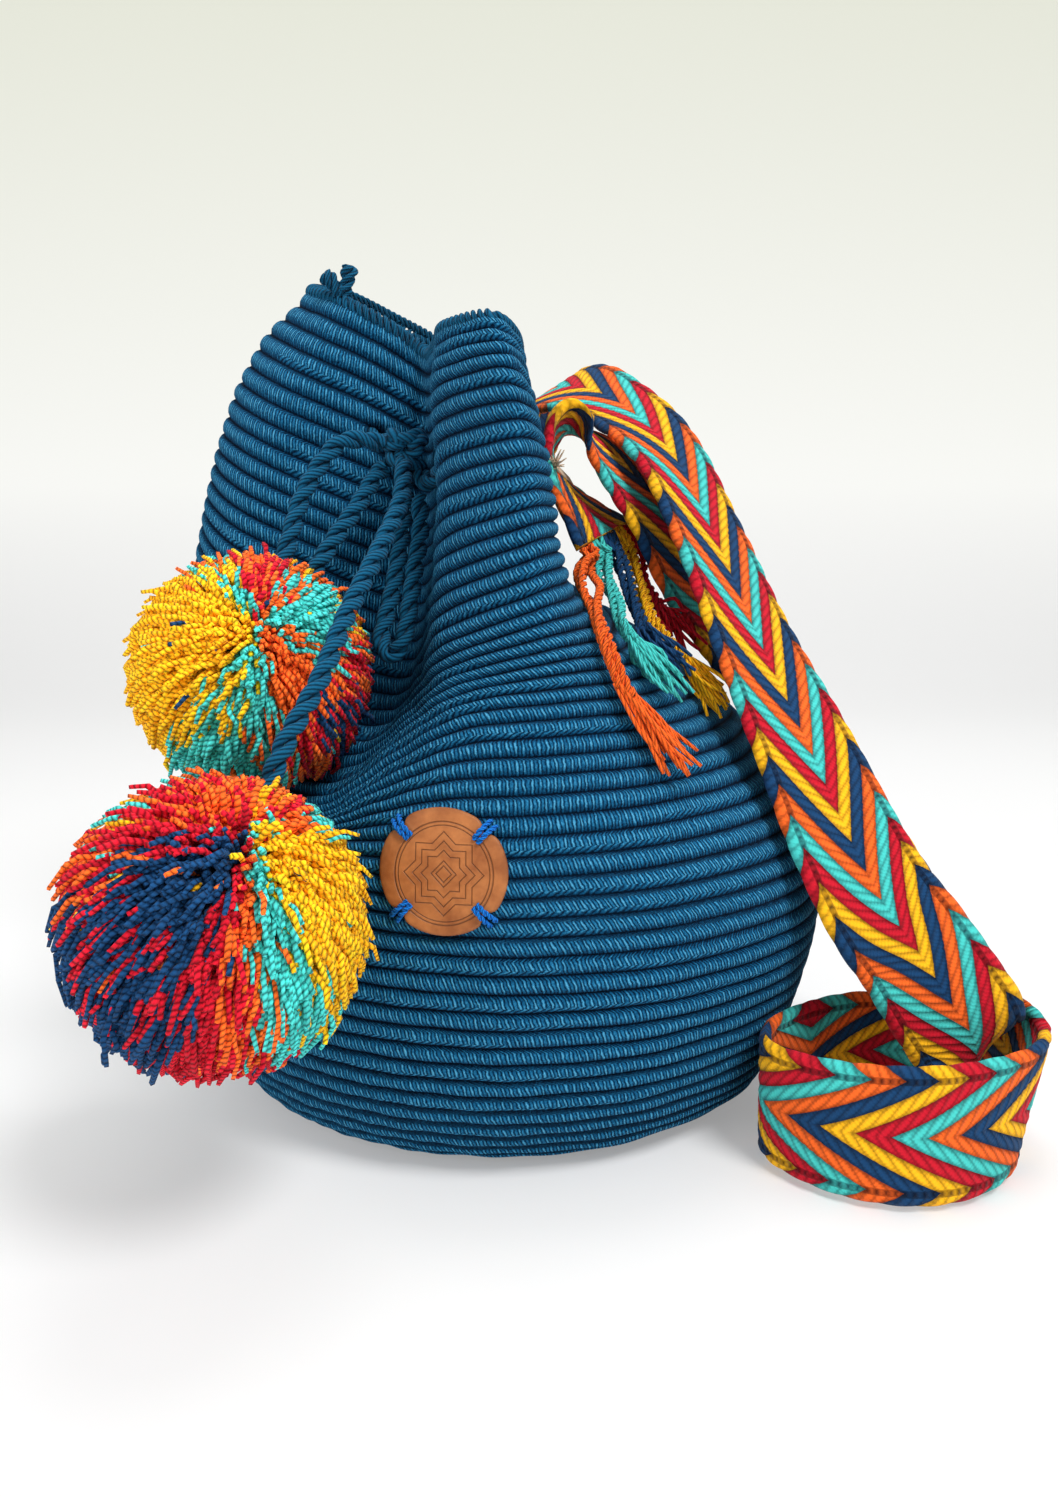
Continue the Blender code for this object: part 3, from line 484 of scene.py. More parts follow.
def wall_surface(column, ring):
    """The wall's outer face at the rounds' crests. Columns go round, and rings go up."""
    column, ring = np.broadcast_arrays(np.asarray(column, float), np.asarray(ring, float))
    low = np.clip(np.floor(ring).astype(int), 0, TOP - 1)
    t = (ring - low)[..., None]
    first = np.floor(column).astype(int)
    s = (column - first)[..., None]
    padded = np.concatenate([2 * NET[:1] - NET[1:2], NET, 2 * NET[-1:] - NET[-2:-1]])
    rows = []
    for above in range(4):
        row = padded[low + above]
        columns = (first[..., None] + np.arange(-1, 3)) % COLUMNS
        near = np.take_along_axis(row, columns[..., None], axis=-2)
        rows.append(blend4(near[..., 0, :], near[..., 1, :], near[..., 2, :], near[..., 3, :], s))
    return blend4(*rows, t)


def wall_grid(columns, rings, inward=0.0):
    """A grid of places on the wall, a row for each ring."""
    columns, rings = columns[None, :], rings[:, None]
    grid = wall_surface(columns, rings)
    return grid - inward * wall_normal(columns, rings) if inward else grid


def wall_normal(column, ring):
    step = 0.02
    across = wall_surface(column + step, ring) - wall_surface(column - step, ring)
    low = np.clip(ring - step, 0, TOP)
    high = np.clip(ring + step, 0, TOP)
    return unit(np.cross(across, wall_surface(column, high) - wall_surface(column, low)))


def neck_cord_line():
    """The neck cord's way in and out of the wall."""
    reach = CORD_DIAMETER / 2 + 0.0012
    line = []
    for column, ring, side in NECK_CORD_ROUTE:
        offset = {1: reach, 0: -WALL / 2, -1: -WALL - reach}[side]
        line.append(wall_surface(column, ring) + offset * wall_normal(column, ring))
    return np.vstack([NECK_CORD_ENDS[0], line, NECK_CORD_ENDS[1]])


def rim_line(columns):
    """The middle of the wall's top edge."""
    return wall_surface(columns, TOP) - WALL / 2 * wall_normal(columns, TOP)


def eyelet_places():
    """Where the neck cord goes through the wall."""
    return [wall_surface(column, ring) for column, ring, side in NECK_CORD_ROUTE if side == 0]


def add_object(name, data):
    item = bpy.data.objects.new(name, data)
    bpy.context.scene.collection.objects.link(item)
    return item


# Meshes

def grid_faces(rows, columns, start=0):
    """Quads between closed rows of points, and the grid place of each of their corners."""
    row, k = np.meshgrid(np.arange(rows - 1), np.arange(columns), indexing="ij")
    row, k = row.ravel(), k.ravel()
    corners = ((row, k), (row, k + 1), (row + 1, k + 1), (row + 1, k))
    faces = np.stack([start + r * columns + c % columns for r, c in corners], axis=1)
    places = np.stack([np.stack([r, c], axis=1) for r, c in corners], axis=1)
    return faces, places


class Shape:
    """Points, faces and their flat map, gathered bit by bit into one mesh."""

    def __init__(self):
        self.points, self.faces, self.maps, self.tints = [], [], [], []
        self.count = 0

    def add_points(self, points, tint=None):
        points = np.asarray(points, float).reshape(-1, 3)
        self.points.append(points)
        if tint is not None:
            self.tints.append(np.broadcast_to(tint, (len(points), 3)))
        first = self.count
        self.count += len(points)
        return first

    def add_grid(self, grid, across, along, caps=True, tint=None, flip=False):
        """Closed rows of points, joined. across has one value more than a row, to meet its start."""
        rows, columns = grid.shape[:2]
        first = self.add_points(grid, tint)
        faces, places = grid_faces(rows, columns, first)
        across = np.broadcast_to(across, (rows, columns + 1))
        row, column = places[..., 0], places[..., 1]
        flat = np.stack([across[row, column], along[row]], axis=2)
        if flip:
            faces, flat = faces[:, ::-1], flat[:, ::-1]
        self.faces += faces.tolist()
        self.maps.append(flat.reshape(-1, 2))
        if caps:
            for row, kept in ((0, flip), (rows - 1, not flip)):
                ring = list(range(first + row * columns, first + (row + 1) * columns))
                self.add_face(ring if kept else ring[::-1], (across[0, 0], along[row]))

    def add_face(self, corners, flat):
        self.faces.append(list(corners))
        self.maps.append(np.broadcast_to(np.array(flat, float), (len(corners), 2)))

    def make(self, name, material):
        mesh = bpy.data.meshes.new(name)
        mesh.from_pydata(np.concatenate(self.points).tolist(), [], self.faces)
        layer = mesh.uv_layers.new(name="UVMap")
        layer.data.foreach_set("uv", np.concatenate(self.maps).astype(np.float32).ravel())
        if self.tints:
            tint = np.concatenate(self.tints)
            tint = np.column_stack([tint, np.ones(len(tint))]).astype(np.float32)
            colours = mesh.color_attributes.new("yarn_colour", "FLOAT_COLOR", "POINT")
            colours.data.foreach_set("color", tint.ravel())
        mesh.shade_smooth()
        mesh.materials.append(material)
        return add_object(name, mesh)


def frames_along(line, first_side=(0.3, 0.5, 0.8)):
    """Ways along and to two sides of a line, carried on without twisting."""
    way = unit(np.gradient(line, axis=0))
    side = unit(np.cross(way[0], first_side))
    sides = []
    for heading in way:
        side = unit(side - heading * np.dot(side, heading))
        sides.append(side)
    sides = np.array(sides)
    return way, sides, np.cross(way, sides)


def rings_on(side, other, sides):
    """A ring of so many places at each point of a line, in the plane of two ways."""
    angle = np.arange(sides) * 2 * math.pi / sides
    return np.cos(angle)[None, :, None] * side[:, None] + np.sin(angle)[None, :, None] * other[:, None]


def add_tube(shape, line, radii, sides, tint=None):
    """A round tube on a line. Its map runs once round, and along in metres."""
    _, side, other = frames_along(line)
    radii = np.broadcast_to(radii, (len(line),))
    grid = line[:, None] + rings_on(side, other, sides) * radii[:, None, None]
    shape.add_grid(grid, np.arange(sides + 1) / sides, lengths_along(line), tint=tint)


def add_twisted(shape, line, diameter, twist, plies=2, sides=12, frames=None, turn=0.0, taper=None):
    """Plies laid round each other along a line, each a flattened round strand."""
    way, side, other = frames or frames_along(line)
    along = lengths_along(line)
    scale = np.ones(len(line)) if taper is None else taper
    off, thick, wide = (0.25, 0.245, 0.33) if plies == 2 else (0.27, 0.225, 0.235)
    for ply in range(plies):
        phase = 2 * math.pi * (along / twist + ply / plies) + turn
        out = np.cos(phase)[:, None] * side + np.sin(phase)[:, None] * other
        middle = line + out * (off * diameter * scale)[:, None]
        ring = rings_on(out * thick, np.cross(way, out) * wide, sides)
        grid = middle[:, None] + ring * (diameter * scale)[:, None, None]
        shape.add_grid(grid, np.arange(sides + 1) / sides, along)


# Materials

class Nodes:
    """One material, and short ways of adding nodes to it. Sums are in add, less, times and over."""

    def __init__(self, name, roughness, sheen=0.0, specular=0.25):
        self.material = bpy.data.materials.new(name)
        self.material.use_nodes = True
        self.tree = self.material.node_tree
        self.shader = self.tree.nodes["Principled BSDF"]
        for socket, value in (
            ("Roughness", roughness), ("Specular IOR Level", specular),
            ("Sheen Weight", sheen), ("Sheen Roughness", 0.5),
        ):
            self.shader.inputs[socket].default_value = value

    def new(self, kind, **settings):
        node = self.tree.nodes.new("ShaderNode" + kind)
        for name, value in settings.items():
            setattr(node, name, value)
        return node

    def link(self, value, socket):
        """Joins a node's output to a socket, or gives the socket a plain value."""
        if hasattr(value, "is_output"):
            self.tree.links.new(value, socket)
        else:
            socket.default_value = value

    def math(self, operation, *values, clamp=False):
        node = self.new("Math", operation=operation, use_clamp=clamp)
        for value, socket in zip(values, node.inputs):
            self.link(value, socket)
        return node.outputs[0]

    def add(self, a, b, clamp=False):
        return self.math("ADD", a, b, clamp=clamp)

    def less(self, a, b, clamp=False):
        return self.math("SUBTRACT", a, b, clamp=clamp)

    def times(self, a, b, clamp=False):
        return self.math("MULTIPLY", a, b, clamp=clamp)

    def over(self, a, b, clamp=False):
        return self.math("DIVIDE", a, b, clamp=clamp)

    def larger(self, a, b):
        return self.math("MAXIMUM", a, b)

    def ridge(self, value):
        """Rounded ridges with sharp valleys, one for each whole number."""
        return self.math("ABSOLUTE", self.math("SINE", self.times(value, math.pi)))

    def split(self, vector):
        node = self.new("SeparateXYZ")
        self.link(vector, node.inputs[0])
        return node.outputs

    def join(self, x, y, z=0.0):
        node = self.new("CombineXYZ")
        for value, socket in zip((x, y, z), node.inputs):
            self.link(value, socket)
        return node.outputs[0]

    def flat_map(self):
        return self.new("UVMap", uv_map="UVMap").outputs[0]

    def place(self):
        return self.new("TexCoord").outputs["Object"]

    def noise(self, vector, scale, detail=2.0, roughness=0.5):
        """Soft noise, from nought to one."""
        node = self.new("TexNoise")
        self.link(vector, node.inputs["Vector"])
        for socket, value in (("Scale", scale), ("Detail", detail), ("Roughness", roughness)):
            node.inputs[socket].default_value = value
        return node.outputs["Fac"]

    def mix(self, factor, a, b, blend="MIX"):
        node = self.new("Mix", data_type="RGBA", blend_type=blend)
        self.link(factor, node.inputs["Factor"])
        for value, socket in ((a, node.inputs[6]), (b, node.inputs[7])):
            self.link(value if hasattr(value, "is_output") else (*value, 1.0), socket)
        return node.outputs[2]

    def shade(self, base, tone, darkness, light, glow):
        """The yarn's colour, with painted shade where the tone is low and a painted highlight where it glows."""
        deep = self.mix(1.0, base, darkness, "MULTIPLY")
        bright = self.mix(1.0, base, (light, light, light), "MULTIPLY")
        return self.mix(glow, self.mix(tone, deep, base), bright)

    def ramp(self, value, stops, interpolation="LINEAR"):
        node = self.new("ValToRGB")
        node.color_ramp.interpolation = interpolation
        elements = node.color_ramp.elements
        while len(elements) < len(stops):
            elements.new(1.0)
        for element, (at, colour) in zip(elements, stops):
            element.position = at
            element.color = (*colour, 1.0)
        self.link(value, node.inputs[0])
        return node.outputs[0]

    def spot(self, middle, full, gone):
        """One near a place on the piece, falling to nothing between two distances from it."""
        node = self.new("VectorMath", operation="DISTANCE")
        self.link(self.place(), node.inputs[0])
        node.inputs[1].default_value = tuple(middle)
        return self.over(self.less(gone, node.outputs["Value"]), gone - full, clamp=True)

    def bump(self, height, strength, distance):
        node = self.new("Bump")
        for value, socket in ((strength, "Strength"), (distance, "Distance"), (height, "Height")):
            self.link(value, node.inputs[socket])
        return node.outputs[0]

    def wear(self, colour, height, strength, distance):
        """The finished material, with this colour and bumped by this height."""
        self.link(colour, self.shader.inputs["Base Color"])
        self.link(self.bump(height, strength, distance), self.shader.inputs["Normal"])
        return self.material


def crochet_material():
    """Crochet rounds: slanted stitches in each round, with painted shade in the grooves and painted highlights on the
    crests.
    """
    nodes = Nodes("teal_crochet_yarn", 0.9, sheen=0.02, specular=0.04)
    add, less, times = nodes.add, nodes.less, nodes.times
    x, y, _ = nodes.split(nodes.flat_map())
    part_of_round, round_number = nodes.math("FRACT", y), nodes.math("FLOOR", y)
    fuzz = nodes.noise(nodes.place(), 1300.0, 3.0, 0.75)
    tremble = times(nodes.noise(nodes.place(), 420.0, 1.0), 0.9)
    wander = nodes.noise(nodes.join(times(x, 0.11), round_number), 1.0, 1.0)

    # Upper stitches lean one way, in pairs, and some rounds have a lower row that leans back
    slanted = add(add(x, times(part_of_round, 1.9)), add(wander, tremble))
    pairs = nodes.ridge(add(times(slanted, 0.5), 0.25))
    upper = times(nodes.ridge(slanted), add(0.68, times(pairs, 0.42)))
    lower = nodes.ridge(add(less(times(x, 0.5), times(part_of_round, 3.2)), tremble))
    which = nodes.noise(nodes.join(times(x, 0.012), round_number), 0.83, 0.0)
    low_in_round = nodes.math("LESS_THAN", part_of_round, 0.34)
    braided = times(nodes.math("GREATER_THAN", which, 0.56), low_in_round)
    stitch = add(times(upper, less(1.0, braided)), times(lower, braided))

    # Height of the yarn, and how much of it catches the light, painted into the colour: painted shade in the grooves
    # and between stitches, painted highlights on the stitch tops and fuzz
    round_rise = nodes.math("POWER", nodes.ridge(part_of_round), 0.6)
    height = add(round_rise, times(times(stitch, round_rise), 0.8))
    height = add(height, times(fuzz, 0.5))
    loops = nodes.noise(nodes.join(times(slanted, 0.7), times(y, 2.2)), 1.0, 1.0)
    tone = times(times(nodes.math("POWER", stitch, 1.3), round_rise), add(0.45, times(loops, 0.9)))
    tone = add(times(tone, 0.95), times(less(fuzz, 0.45), 1.3))
    tone = add(tone, times(less(round_rise, 0.8), 0.35), clamp=True)
    colour = nodes.ramp(tone, TEAL_STOPS)
    patchy = nodes.noise(nodes.place(), 14.0, 2.0)
    colour = nodes.mix(times(patchy, 0.25), colour, TEAL_PATCH)
    # Painted shade in the eyelet holes: the colour goes to the darkest teal round each place where the cord goes
    # through
    for eyelet in eyelet_places():
        colour = nodes.mix(nodes.spot(eyelet, 0.0040, 0.0062), colour, TEAL_PAINTED_SHADE)
    return nodes.wear(colour, height, 1.0, 0.0009)


def yarn_material(name, colour, light=1.5, strands=3.0, lay=0.0042, depth=0.0004):
    """Plied yarn: fine slanted strands round each ply, fuzzy, with painted shade between them and painted highlights
    on them.

    With no colour given, each yarn has its own from the piece's colour attribute, which also carries painted shade at
    the roots and painted light at the tips.
    """
    nodes = Nodes(name, 0.88, sheen=0.05, specular=0.06)
    x, y, _ = nodes.split(nodes.flat_map())
    strand = nodes.ridge(nodes.less(nodes.times(x, strands), nodes.over(y, lay)))
    fuzz = nodes.noise(nodes.place(), 1700.0, 3.0, 0.7)
    base = colour
    if colour is None:
        base = nodes.new("Attribute", attribute_name="yarn_colour").outputs["Color"]
    # Painted highlight on each strand and painted shade between the strands, with the fuzz
    lit = nodes.times(nodes.math("POWER", strand, 0.6), 0.75)
    tone = nodes.add(lit, nodes.times(fuzz, 0.45), clamp=True)
    glow = nodes.times(nodes.less(tone, 0.55, clamp=True), 1.6)
    height = nodes.add(strand, nodes.times(fuzz, 0.5))
    shade = nodes.shade(base, tone, (0.22, 0.20, 0.24), light, glow)
    return nodes.wear(shade, height, 0.8, depth)


def strap_material():
    """Woven band: a twisted cord of its own for each stripe, in nested V's, turned back at the edges."""
    nodes = Nodes("chevron_band_yarn", 0.88, sheen=0.05, specular=0.12)
    add, less, times, over = nodes.add, nodes.less, nodes.times, nodes.over
    x, y, _ = nodes.split(nodes.flat_map())
    away = nodes.math("ABSOLUTE", x)
    edge = STRAP_WIDTH * SELVEDGE_SHARE
    beyond = nodes.larger(less(away, edge), 0.0)
    back = times(nodes.math("MINIMUM", away, edge), STRIPE_SLOPE)
    back = less(back, times(beyond, SELVEDGE_SLOPE))
    stripe = add(over(less(y, back), STRIPE_PITCH), STRIPE_START)
    stops = tuple((number / 5, YARN[name]) for number, name in enumerate(STRIPE_COLOURS))
    base = nodes.ramp(nodes.math("FRACT", over(stripe, 5.0)), stops, "CONSTANT")

    # Each stripe is a cord of two plies with fine strands, and a beaded channel runs along each edge. The colour takes
    # painted shade between the cords and in the channel, and painted highlights on the cords and beads
    in_stripe = nodes.math("FRACT", stripe)
    cord_rise = nodes.math("POWER", nodes.ridge(in_stripe), 0.6)
    ply = nodes.ridge(add(over(y, 0.0052), in_stripe))
    fine = nodes.ridge(less(over(y, 0.00125), times(in_stripe, 3.0)))
    fuzz = nodes.noise(nodes.place(), 1700.0, 3.0, 0.7)
    tone = times(cord_rise, add(0.34, times(ply, 0.44)))
    tone = add(tone, add(times(fine, 0.14), times(fuzz, 0.46)), clamp=True)
    channel = over(nodes.math("ABSOLUTE", less(away, edge)), 0.0013, clamp=True)
    beads = times(nodes.ridge(over(y, 0.0028)), 0.55)
    channel = nodes.larger(times(channel, channel), beads)
    tone = times(tone, channel)
    glow = times(less(tone, 0.75, clamp=True), 2.2)
    shade = nodes.shade(base, tone, (0.14, 0.12, 0.16), 1.35, glow)
    height = times(cord_rise, 1.2)
    for rise, share in ((ply, 0.7), (channel, 0.8), (fine, 0.12), (fuzz, 0.3)):
        height = add(height, times(rise, share))
    return nodes.wear(shade, height, 0.95, 0.0008)


def leather_material():
    """Vegetable tanned leather, pressed with two rings, a star and nested diamonds."""
    nodes = Nodes("tan_leather", 0.55, specular=0.4)
    less, times = nodes.less, nodes.times
    x, _, z = nodes.split(nodes.place())
    x, z = less(x, PATCH_PLACE[0]), less(z, PATCH_PLACE[1])
    radius = nodes.math("SQRT", nodes.add(times(x, x), times(z, z)))
    across, up = nodes.math("ABSOLUTE", x), nodes.math("ABSOLUTE", z)
    diamond = nodes.add(across, up)
    star = nodes.math("MINIMUM", diamond, times(nodes.larger(across, up), 1.414))
    pressed = 0.0
    for value, middle, width in (
        (radius, 0.0158, 0.00035), (radius, 0.0147, 0.00025), (star, 0.0128, 0.00035),
        (star, 0.0100, 0.00035), (star, 0.0072, 0.00035), (diamond, 0.0040, 0.0004),
        (diamond, 0.0025, 0.0004),
    ):
        off = nodes.math("ABSOLUTE", less(value, middle))
        pressed = nodes.larger(pressed, less(1.0, nodes.over(off, width), clamp=True))
    pressed = times(pressed, nodes.math("LESS_THAN", radius, 0.0164))
    grain = nodes.noise(nodes.place(), 900.0, 4.0, 0.6)
    cloud = nodes.noise(nodes.place(), 120.0, 3.0, 0.6)
    colour = nodes.ramp(cloud, ((0.3, TAN_DARK), (0.7, TAN_LIGHT)))
    colour = nodes.mix(times(pressed, 0.75), colour, TAN_PRESSED)
    rim = times(less(radius, 0.0185, clamp=True), 300.0, clamp=True)
    colour = nodes.mix(times(rim, 0.6), colour, TAN_RIM)
    return nodes.wear(colour, less(times(grain, 0.25), pressed), 0.7, 0.0005)


def studio_material(name, colour):
    """Pale paper. The camera and the gloss see it brighter than it lights the object."""
    nodes = Nodes(name, 0.9, specular=0.1)
    cloud = nodes.noise(nodes.place(), 1.5, 1.0)
    mottled = nodes.mix(nodes.times(cloud, 0.04), colour, (0.72, 0.73, 0.72))
    nodes.link(mottled, nodes.shader.inputs["Base Color"])
    up = nodes.over(nodes.split(nodes.place())[2], 1.5, clamp=True)
    path, glow, mix = nodes.new("LightPath"), nodes.new("Emission"), nodes.new("MixShader")
    # The backdrop's glow turns dimmer and warmer and takes a larger share higher up: painted shade on the upper
    # backdrop
    tints = ((0.0, (1.0, 1.0, 1.0)), (0.25, (0.985, 0.990, 0.950)), (0.9, (0.830, 0.845, 0.730)))
    nodes.link(nodes.ramp(up, tints), glow.inputs["Color"])
    glow.inputs["Strength"].default_value = 1.0
    seen = nodes.larger(path.outputs["Is Camera Ray"], path.outputs["Is Glossy Ray"])
    seen = nodes.larger(seen, path.outputs["Is Transmission Ray"])
    share = nodes.math("MINIMUM", nodes.add(0.28, nodes.times(up, 2.6, clamp=True)), 0.85)
    for k, value in enumerate((nodes.times(seen, share), nodes.shader.outputs[0], glow.outputs[0])):
        nodes.link(value, mix.inputs[k])
    nodes.link(mix.outputs[0], nodes.tree.nodes["Material Output"].inputs["Surface"])
    return nodes.material


def settle(piece, slot, *replaced):
    """Says what a finished piece rides on, stands for and takes its finish from."""
    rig.ride(piece, "root")
    if replaced:
        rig.replaces(piece, *replaced)
    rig.slot(piece, slot)
    return piece


# Camera and cords

def make_camera():
    camera = bpy.data.cameras.new("studio_camera")
    camera.lens = CAMERA_LENS
    camera.clip_start = 0.01
    camera.clip_end = 20
    holder = add_object("studio_camera", camera)
    holder.location = CAMERA_PLACE
    holder.rotation_euler = (math.radians(CAMERA_TILT), 0, 0)
    bpy.context.scene.camera = holder


def make_cord(name, route, material):
    line = even_line(route, 0.0009)
    shape = Shape()
    add_twisted(shape, line, CORD_DIAMETER, CORD_TWIST, sides=14)
    return settle(shape.make(name + "_cord", material), "cord_navy", name), line


def make_neck_cord(material):
    shape = Shape()
    add_twisted(shape, even_line(neck_cord_line(), 0.0011), CORD_DIAMETER, CORD_TWIST, sides=12)
    return settle(shape.make("drawstring_neck_cord", material), "cord_navy", "drawstring_neck")


def make_knot(material):
    """The cords' knot: a turn over itself and two wraps round it."""
    t = np.linspace(0, 2 * math.pi, 241)
    middle = np.array(KNOT_PLACE)
    turn = np.stack([
        0.0052 * (np.sin(t) + 1.1 * np.sin(2 * t)) / 1.6,
        0.0046 * -np.sin(3 * t),
        0.0072 * (np.cos(t) - 1.1 * np.cos(2 * t)) / 1.6,
    ], axis=1)
    shape = Shape()
    add_twisted(shape, middle + turn, CORD_DIAMETER * 0.98, CORD_TWIST * 0.9, sides=12)
    for lift, lean in ((0.0042, 0.30), (-0.0040, -0.25)):
        rise = lift + lean * 0.006 * np.cos(t)
        ring = np.stack([0.0056 * np.cos(t), 0.0056 * np.sin(t), rise], axis=1)
        add_twisted(shape, middle + ring, CORD_DIAMETER * 0.86, CORD_TWIST * 0.9, sides=12)
    return settle(shape.make("drawstring_gathered_knot", material), "cord_navy", "drawstring_knot")


# Pompoms

def viewer_frame(place):
    toward = unit(np.array(CAMERA_PLACE) - place)
    right = unit(np.cross((0, 0, 1), toward))
    return right, np.cross(toward, right), toward


def even_directions(count):
    k = np.arange(count) + 0.5
    up = 1 - 2 * k / count
    angle = math.pi * (1 + 5**0.5) * k
    level = np.sqrt(1 - up**2)
    return np.stack([level * np.cos(angle), level * np.sin(angle), up], axis=1)


def make_pompom(name, material, seed):
    """Cut yarns from one tied middle: they part at one place and lean away from it."""
    middle, radius, count, parting, sectors = POMPOMS[name]
    middle = np.array(middle)
    rng = np.random.default_rng(seed)
    right, up, toward = viewer_frame(middle)
    pole = unit(parting[0] * right + parting[1] * up + parting[2] * toward)
    tips = unit(even_directions(count) + rng.normal(0, 0.018, (count, 3)))
    shape = Shape()
    stations = np.array((0.0, 0.45, 0.78, 1.0))
    for tip in tips:
        facing = np.dot(tip, pole)
        pull = (1.05 + 0.35 * facing) * rng.uniform(0.45, 1.3)
        leaned = unit(tip + pole * pull + rng.normal(0, 0.15, 3))
        reach = radius * min(rng.normal(0.975, 0.045), 1.07)
        if rng.random() < 0.07:
            reach *= rng.uniform(1.03, 1.11)
        heading = math.atan2(np.dot(tip - pole, up), np.dot(tip - pole, right))
        heading = math.degrees(heading) + rng.normal(0, 4.0)
        distance = math.acos(max(-1.0, min(1.0, facing)))
        for end, near, far in sectors:
            if heading < end:
                break
        names = (near if distance + rng.normal(0, 0.10) < 0.95 else far).split()
        chosen = names[int(rng.random() * len(names))]
        if rng.random() < 0.025:
            chosen = tuple(YARN)[int(rng.random() * 5)]
        # Painted shade and light along each yarn: dark at the root inside the pompom, brighter than the yarn's colour
        # at the tip, along with a random brightness for each yarn
        depth = np.array((0.36, 0.74, 1.10, 1.30)) * rng.uniform(0.78, 1.14)
        tint = np.repeat(np.minimum(np.outer(depth, YARN[chosen]), 1.0), 4, axis=0)
        way = unit(leaned[None] + (tip - leaned)[None] * stations[:, None] ** 1.1)
        out = 0.35 * radius + (reach - 0.35 * radius) * np.sin(stations * math.pi / 2) ** 0.9
        line = middle + way * out[:, None]
        radii = YARN_DIAMETER / 2 * np.array((0.75, 1.0, 1.05, 0.85)) * rng.uniform(0.85, 1.12)
        add_tube(shape, line, radii, sides=4, tint=tint)
    return settle(shape.make(name + "_yarns", material), name.replace("pompom", "pompom_yarn"), name)


# Bag

def arc_round(points):
    return lengths_along(np.concatenate([points, points[:1]]))


def round_edges():
    """Ring places of the grooves between the rounds, bottom to top."""
    fine = np.linspace(0, TOP, 400)
    line = wall_grid(np.arange(COLUMNS), fine)
    steps = np.linalg.norm(np.diff(line, axis=0), axis=2).mean(axis=1)
    along = np.concatenate([[0], np.cumsum(steps)])
    rounds = round(along[-1] / ROUND_PITCH)
    return np.interp(np.linspace(0, along[-1], rounds + 1), along, fine)


def make_bag(material):
    """The crocheted wall: rounds with rolled crests outside, a smoother lining face inside."""
    edges = round_edges()
    per_round = 5
    shares = np.arange(per_round) / per_round
    rings = np.concatenate([low + (high - low) * shares for low, high in zip(edges[:-1], edges[1:])])
    rings = np.append(rings, edges[-1])
    number = np.arange(len(rings)) / per_round
    columns = np.arange(0, COLUMNS, 1 / 22)
    grid = wall_grid(columns, rings)
    normals = wall_normal(columns[None, :], rings[:, None])
    sunk = GROOVE_DEPTH * (1 - np.abs(np.sin(number * math.pi)) ** 0.6)
    wobble = np.sin(columns[None, :] * 3.1 + number[:, None] * 1.7) * np.sin(columns[None, :] * 7.3)
    hollow = sunk[:, None] + WALL_WOBBLE * wobble
    for eyelet in eyelet_places():
        away = np.linalg.norm(grid - eyelet, axis=2)
        hollow = hollow + EYELET_DEPTH * np.exp(-((away / EYELET_RADIUS) ** 4))
    outer = grid - normals * hollow[..., None]
    outer[:, :, 2] = np.maximum(outer[:, :, 2], 0.0)
    stitches = []
    for row in range(len(rings)):
        crest = min(int(number[row]) * per_round + per_round // 2, len(rings) - 1)
        arc = arc_round(grid[crest])
        stitches.append(arc / arc[-1] * round(arc[-1] / STITCH_PITCH))
    stitches = np.array(stitches)
    shape = Shape()
    shape.add_grid(outer, stitches, number, caps=False)
    inner_rings = edges[1::2]
    inner_columns = np.arange(0, COLUMNS, 1 / 8)
    inner = wall_grid(inner_columns, inner_rings, WALL)
    inner[:, :, 2] = np.maximum(inner[:, :, 2], WALL)
    inner_stitches = np.arange(len(inner_columns) + 1) * 4.0
    shape.add_grid(inner, inner_stitches, np.arange(len(inner_rings)) * 2.0, caps=False, flip=True)
    add_disc(shape, outer[0], 0.0, stitches[0], down=True)
    add_disc(shape, inner[0], WALL, inner_stitches, down=False)
    return settle(shape.make("bag_crochet_body", material), "wool_teal", "bag_body")


def add_disc(shape, edge, height, around, down):
    """The flat bottom: the same rounds carried on to the middle."""
    rounds = 14
    middle = edge.mean(axis=0)
    rows = middle + (edge - middle) * np.linspace(1.0, 0.02, rounds)[:, None, None]
    rows[..., 2] = height
    shape.add_grid(rows, around, np.linspace(0, -rounds, rounds), caps=False, flip=down)
    ring = list(range(shape.count - len(edge), shape.count))
    shape.add_face(ring[::-1] if down else ring, (0.0, -rounds))


def make_rim_braid(material):
    """The thick plaited round on the rim, closed on itself."""
    columns = np.linspace(0, COLUMNS, 900, endpoint=False)
    line = rim_line(columns)
    closed = np.vstack([line, line[:1]])
    way = unit(np.roll(line, -1, axis=0) - np.roll(line, 1, axis=0))
    way = np.vstack([way, way[:1]])
    lift = np.array((0.0, 0.0, 1.0))
    side = unit(lift - way * (way @ lift)[:, None])
    frames = way, side, np.cross(way, side)
    length = arc_round(line)[-1]
    twist = length / round(length / RIM_BRAID[1])
    taper = np.interp(np.append(columns, COLUMNS), (0, 2, 3, 8, 9.5, 15), (0.8, 0.85, 1, 1, 0.8, 0.8))
    shape = Shape()
    add_twisted(shape, closed, RIM_BRAID[0], twist, plies=3, sides=8, frames=frames, taper=taper)
    return settle(shape.make("rim_braid", material), "wool_teal")


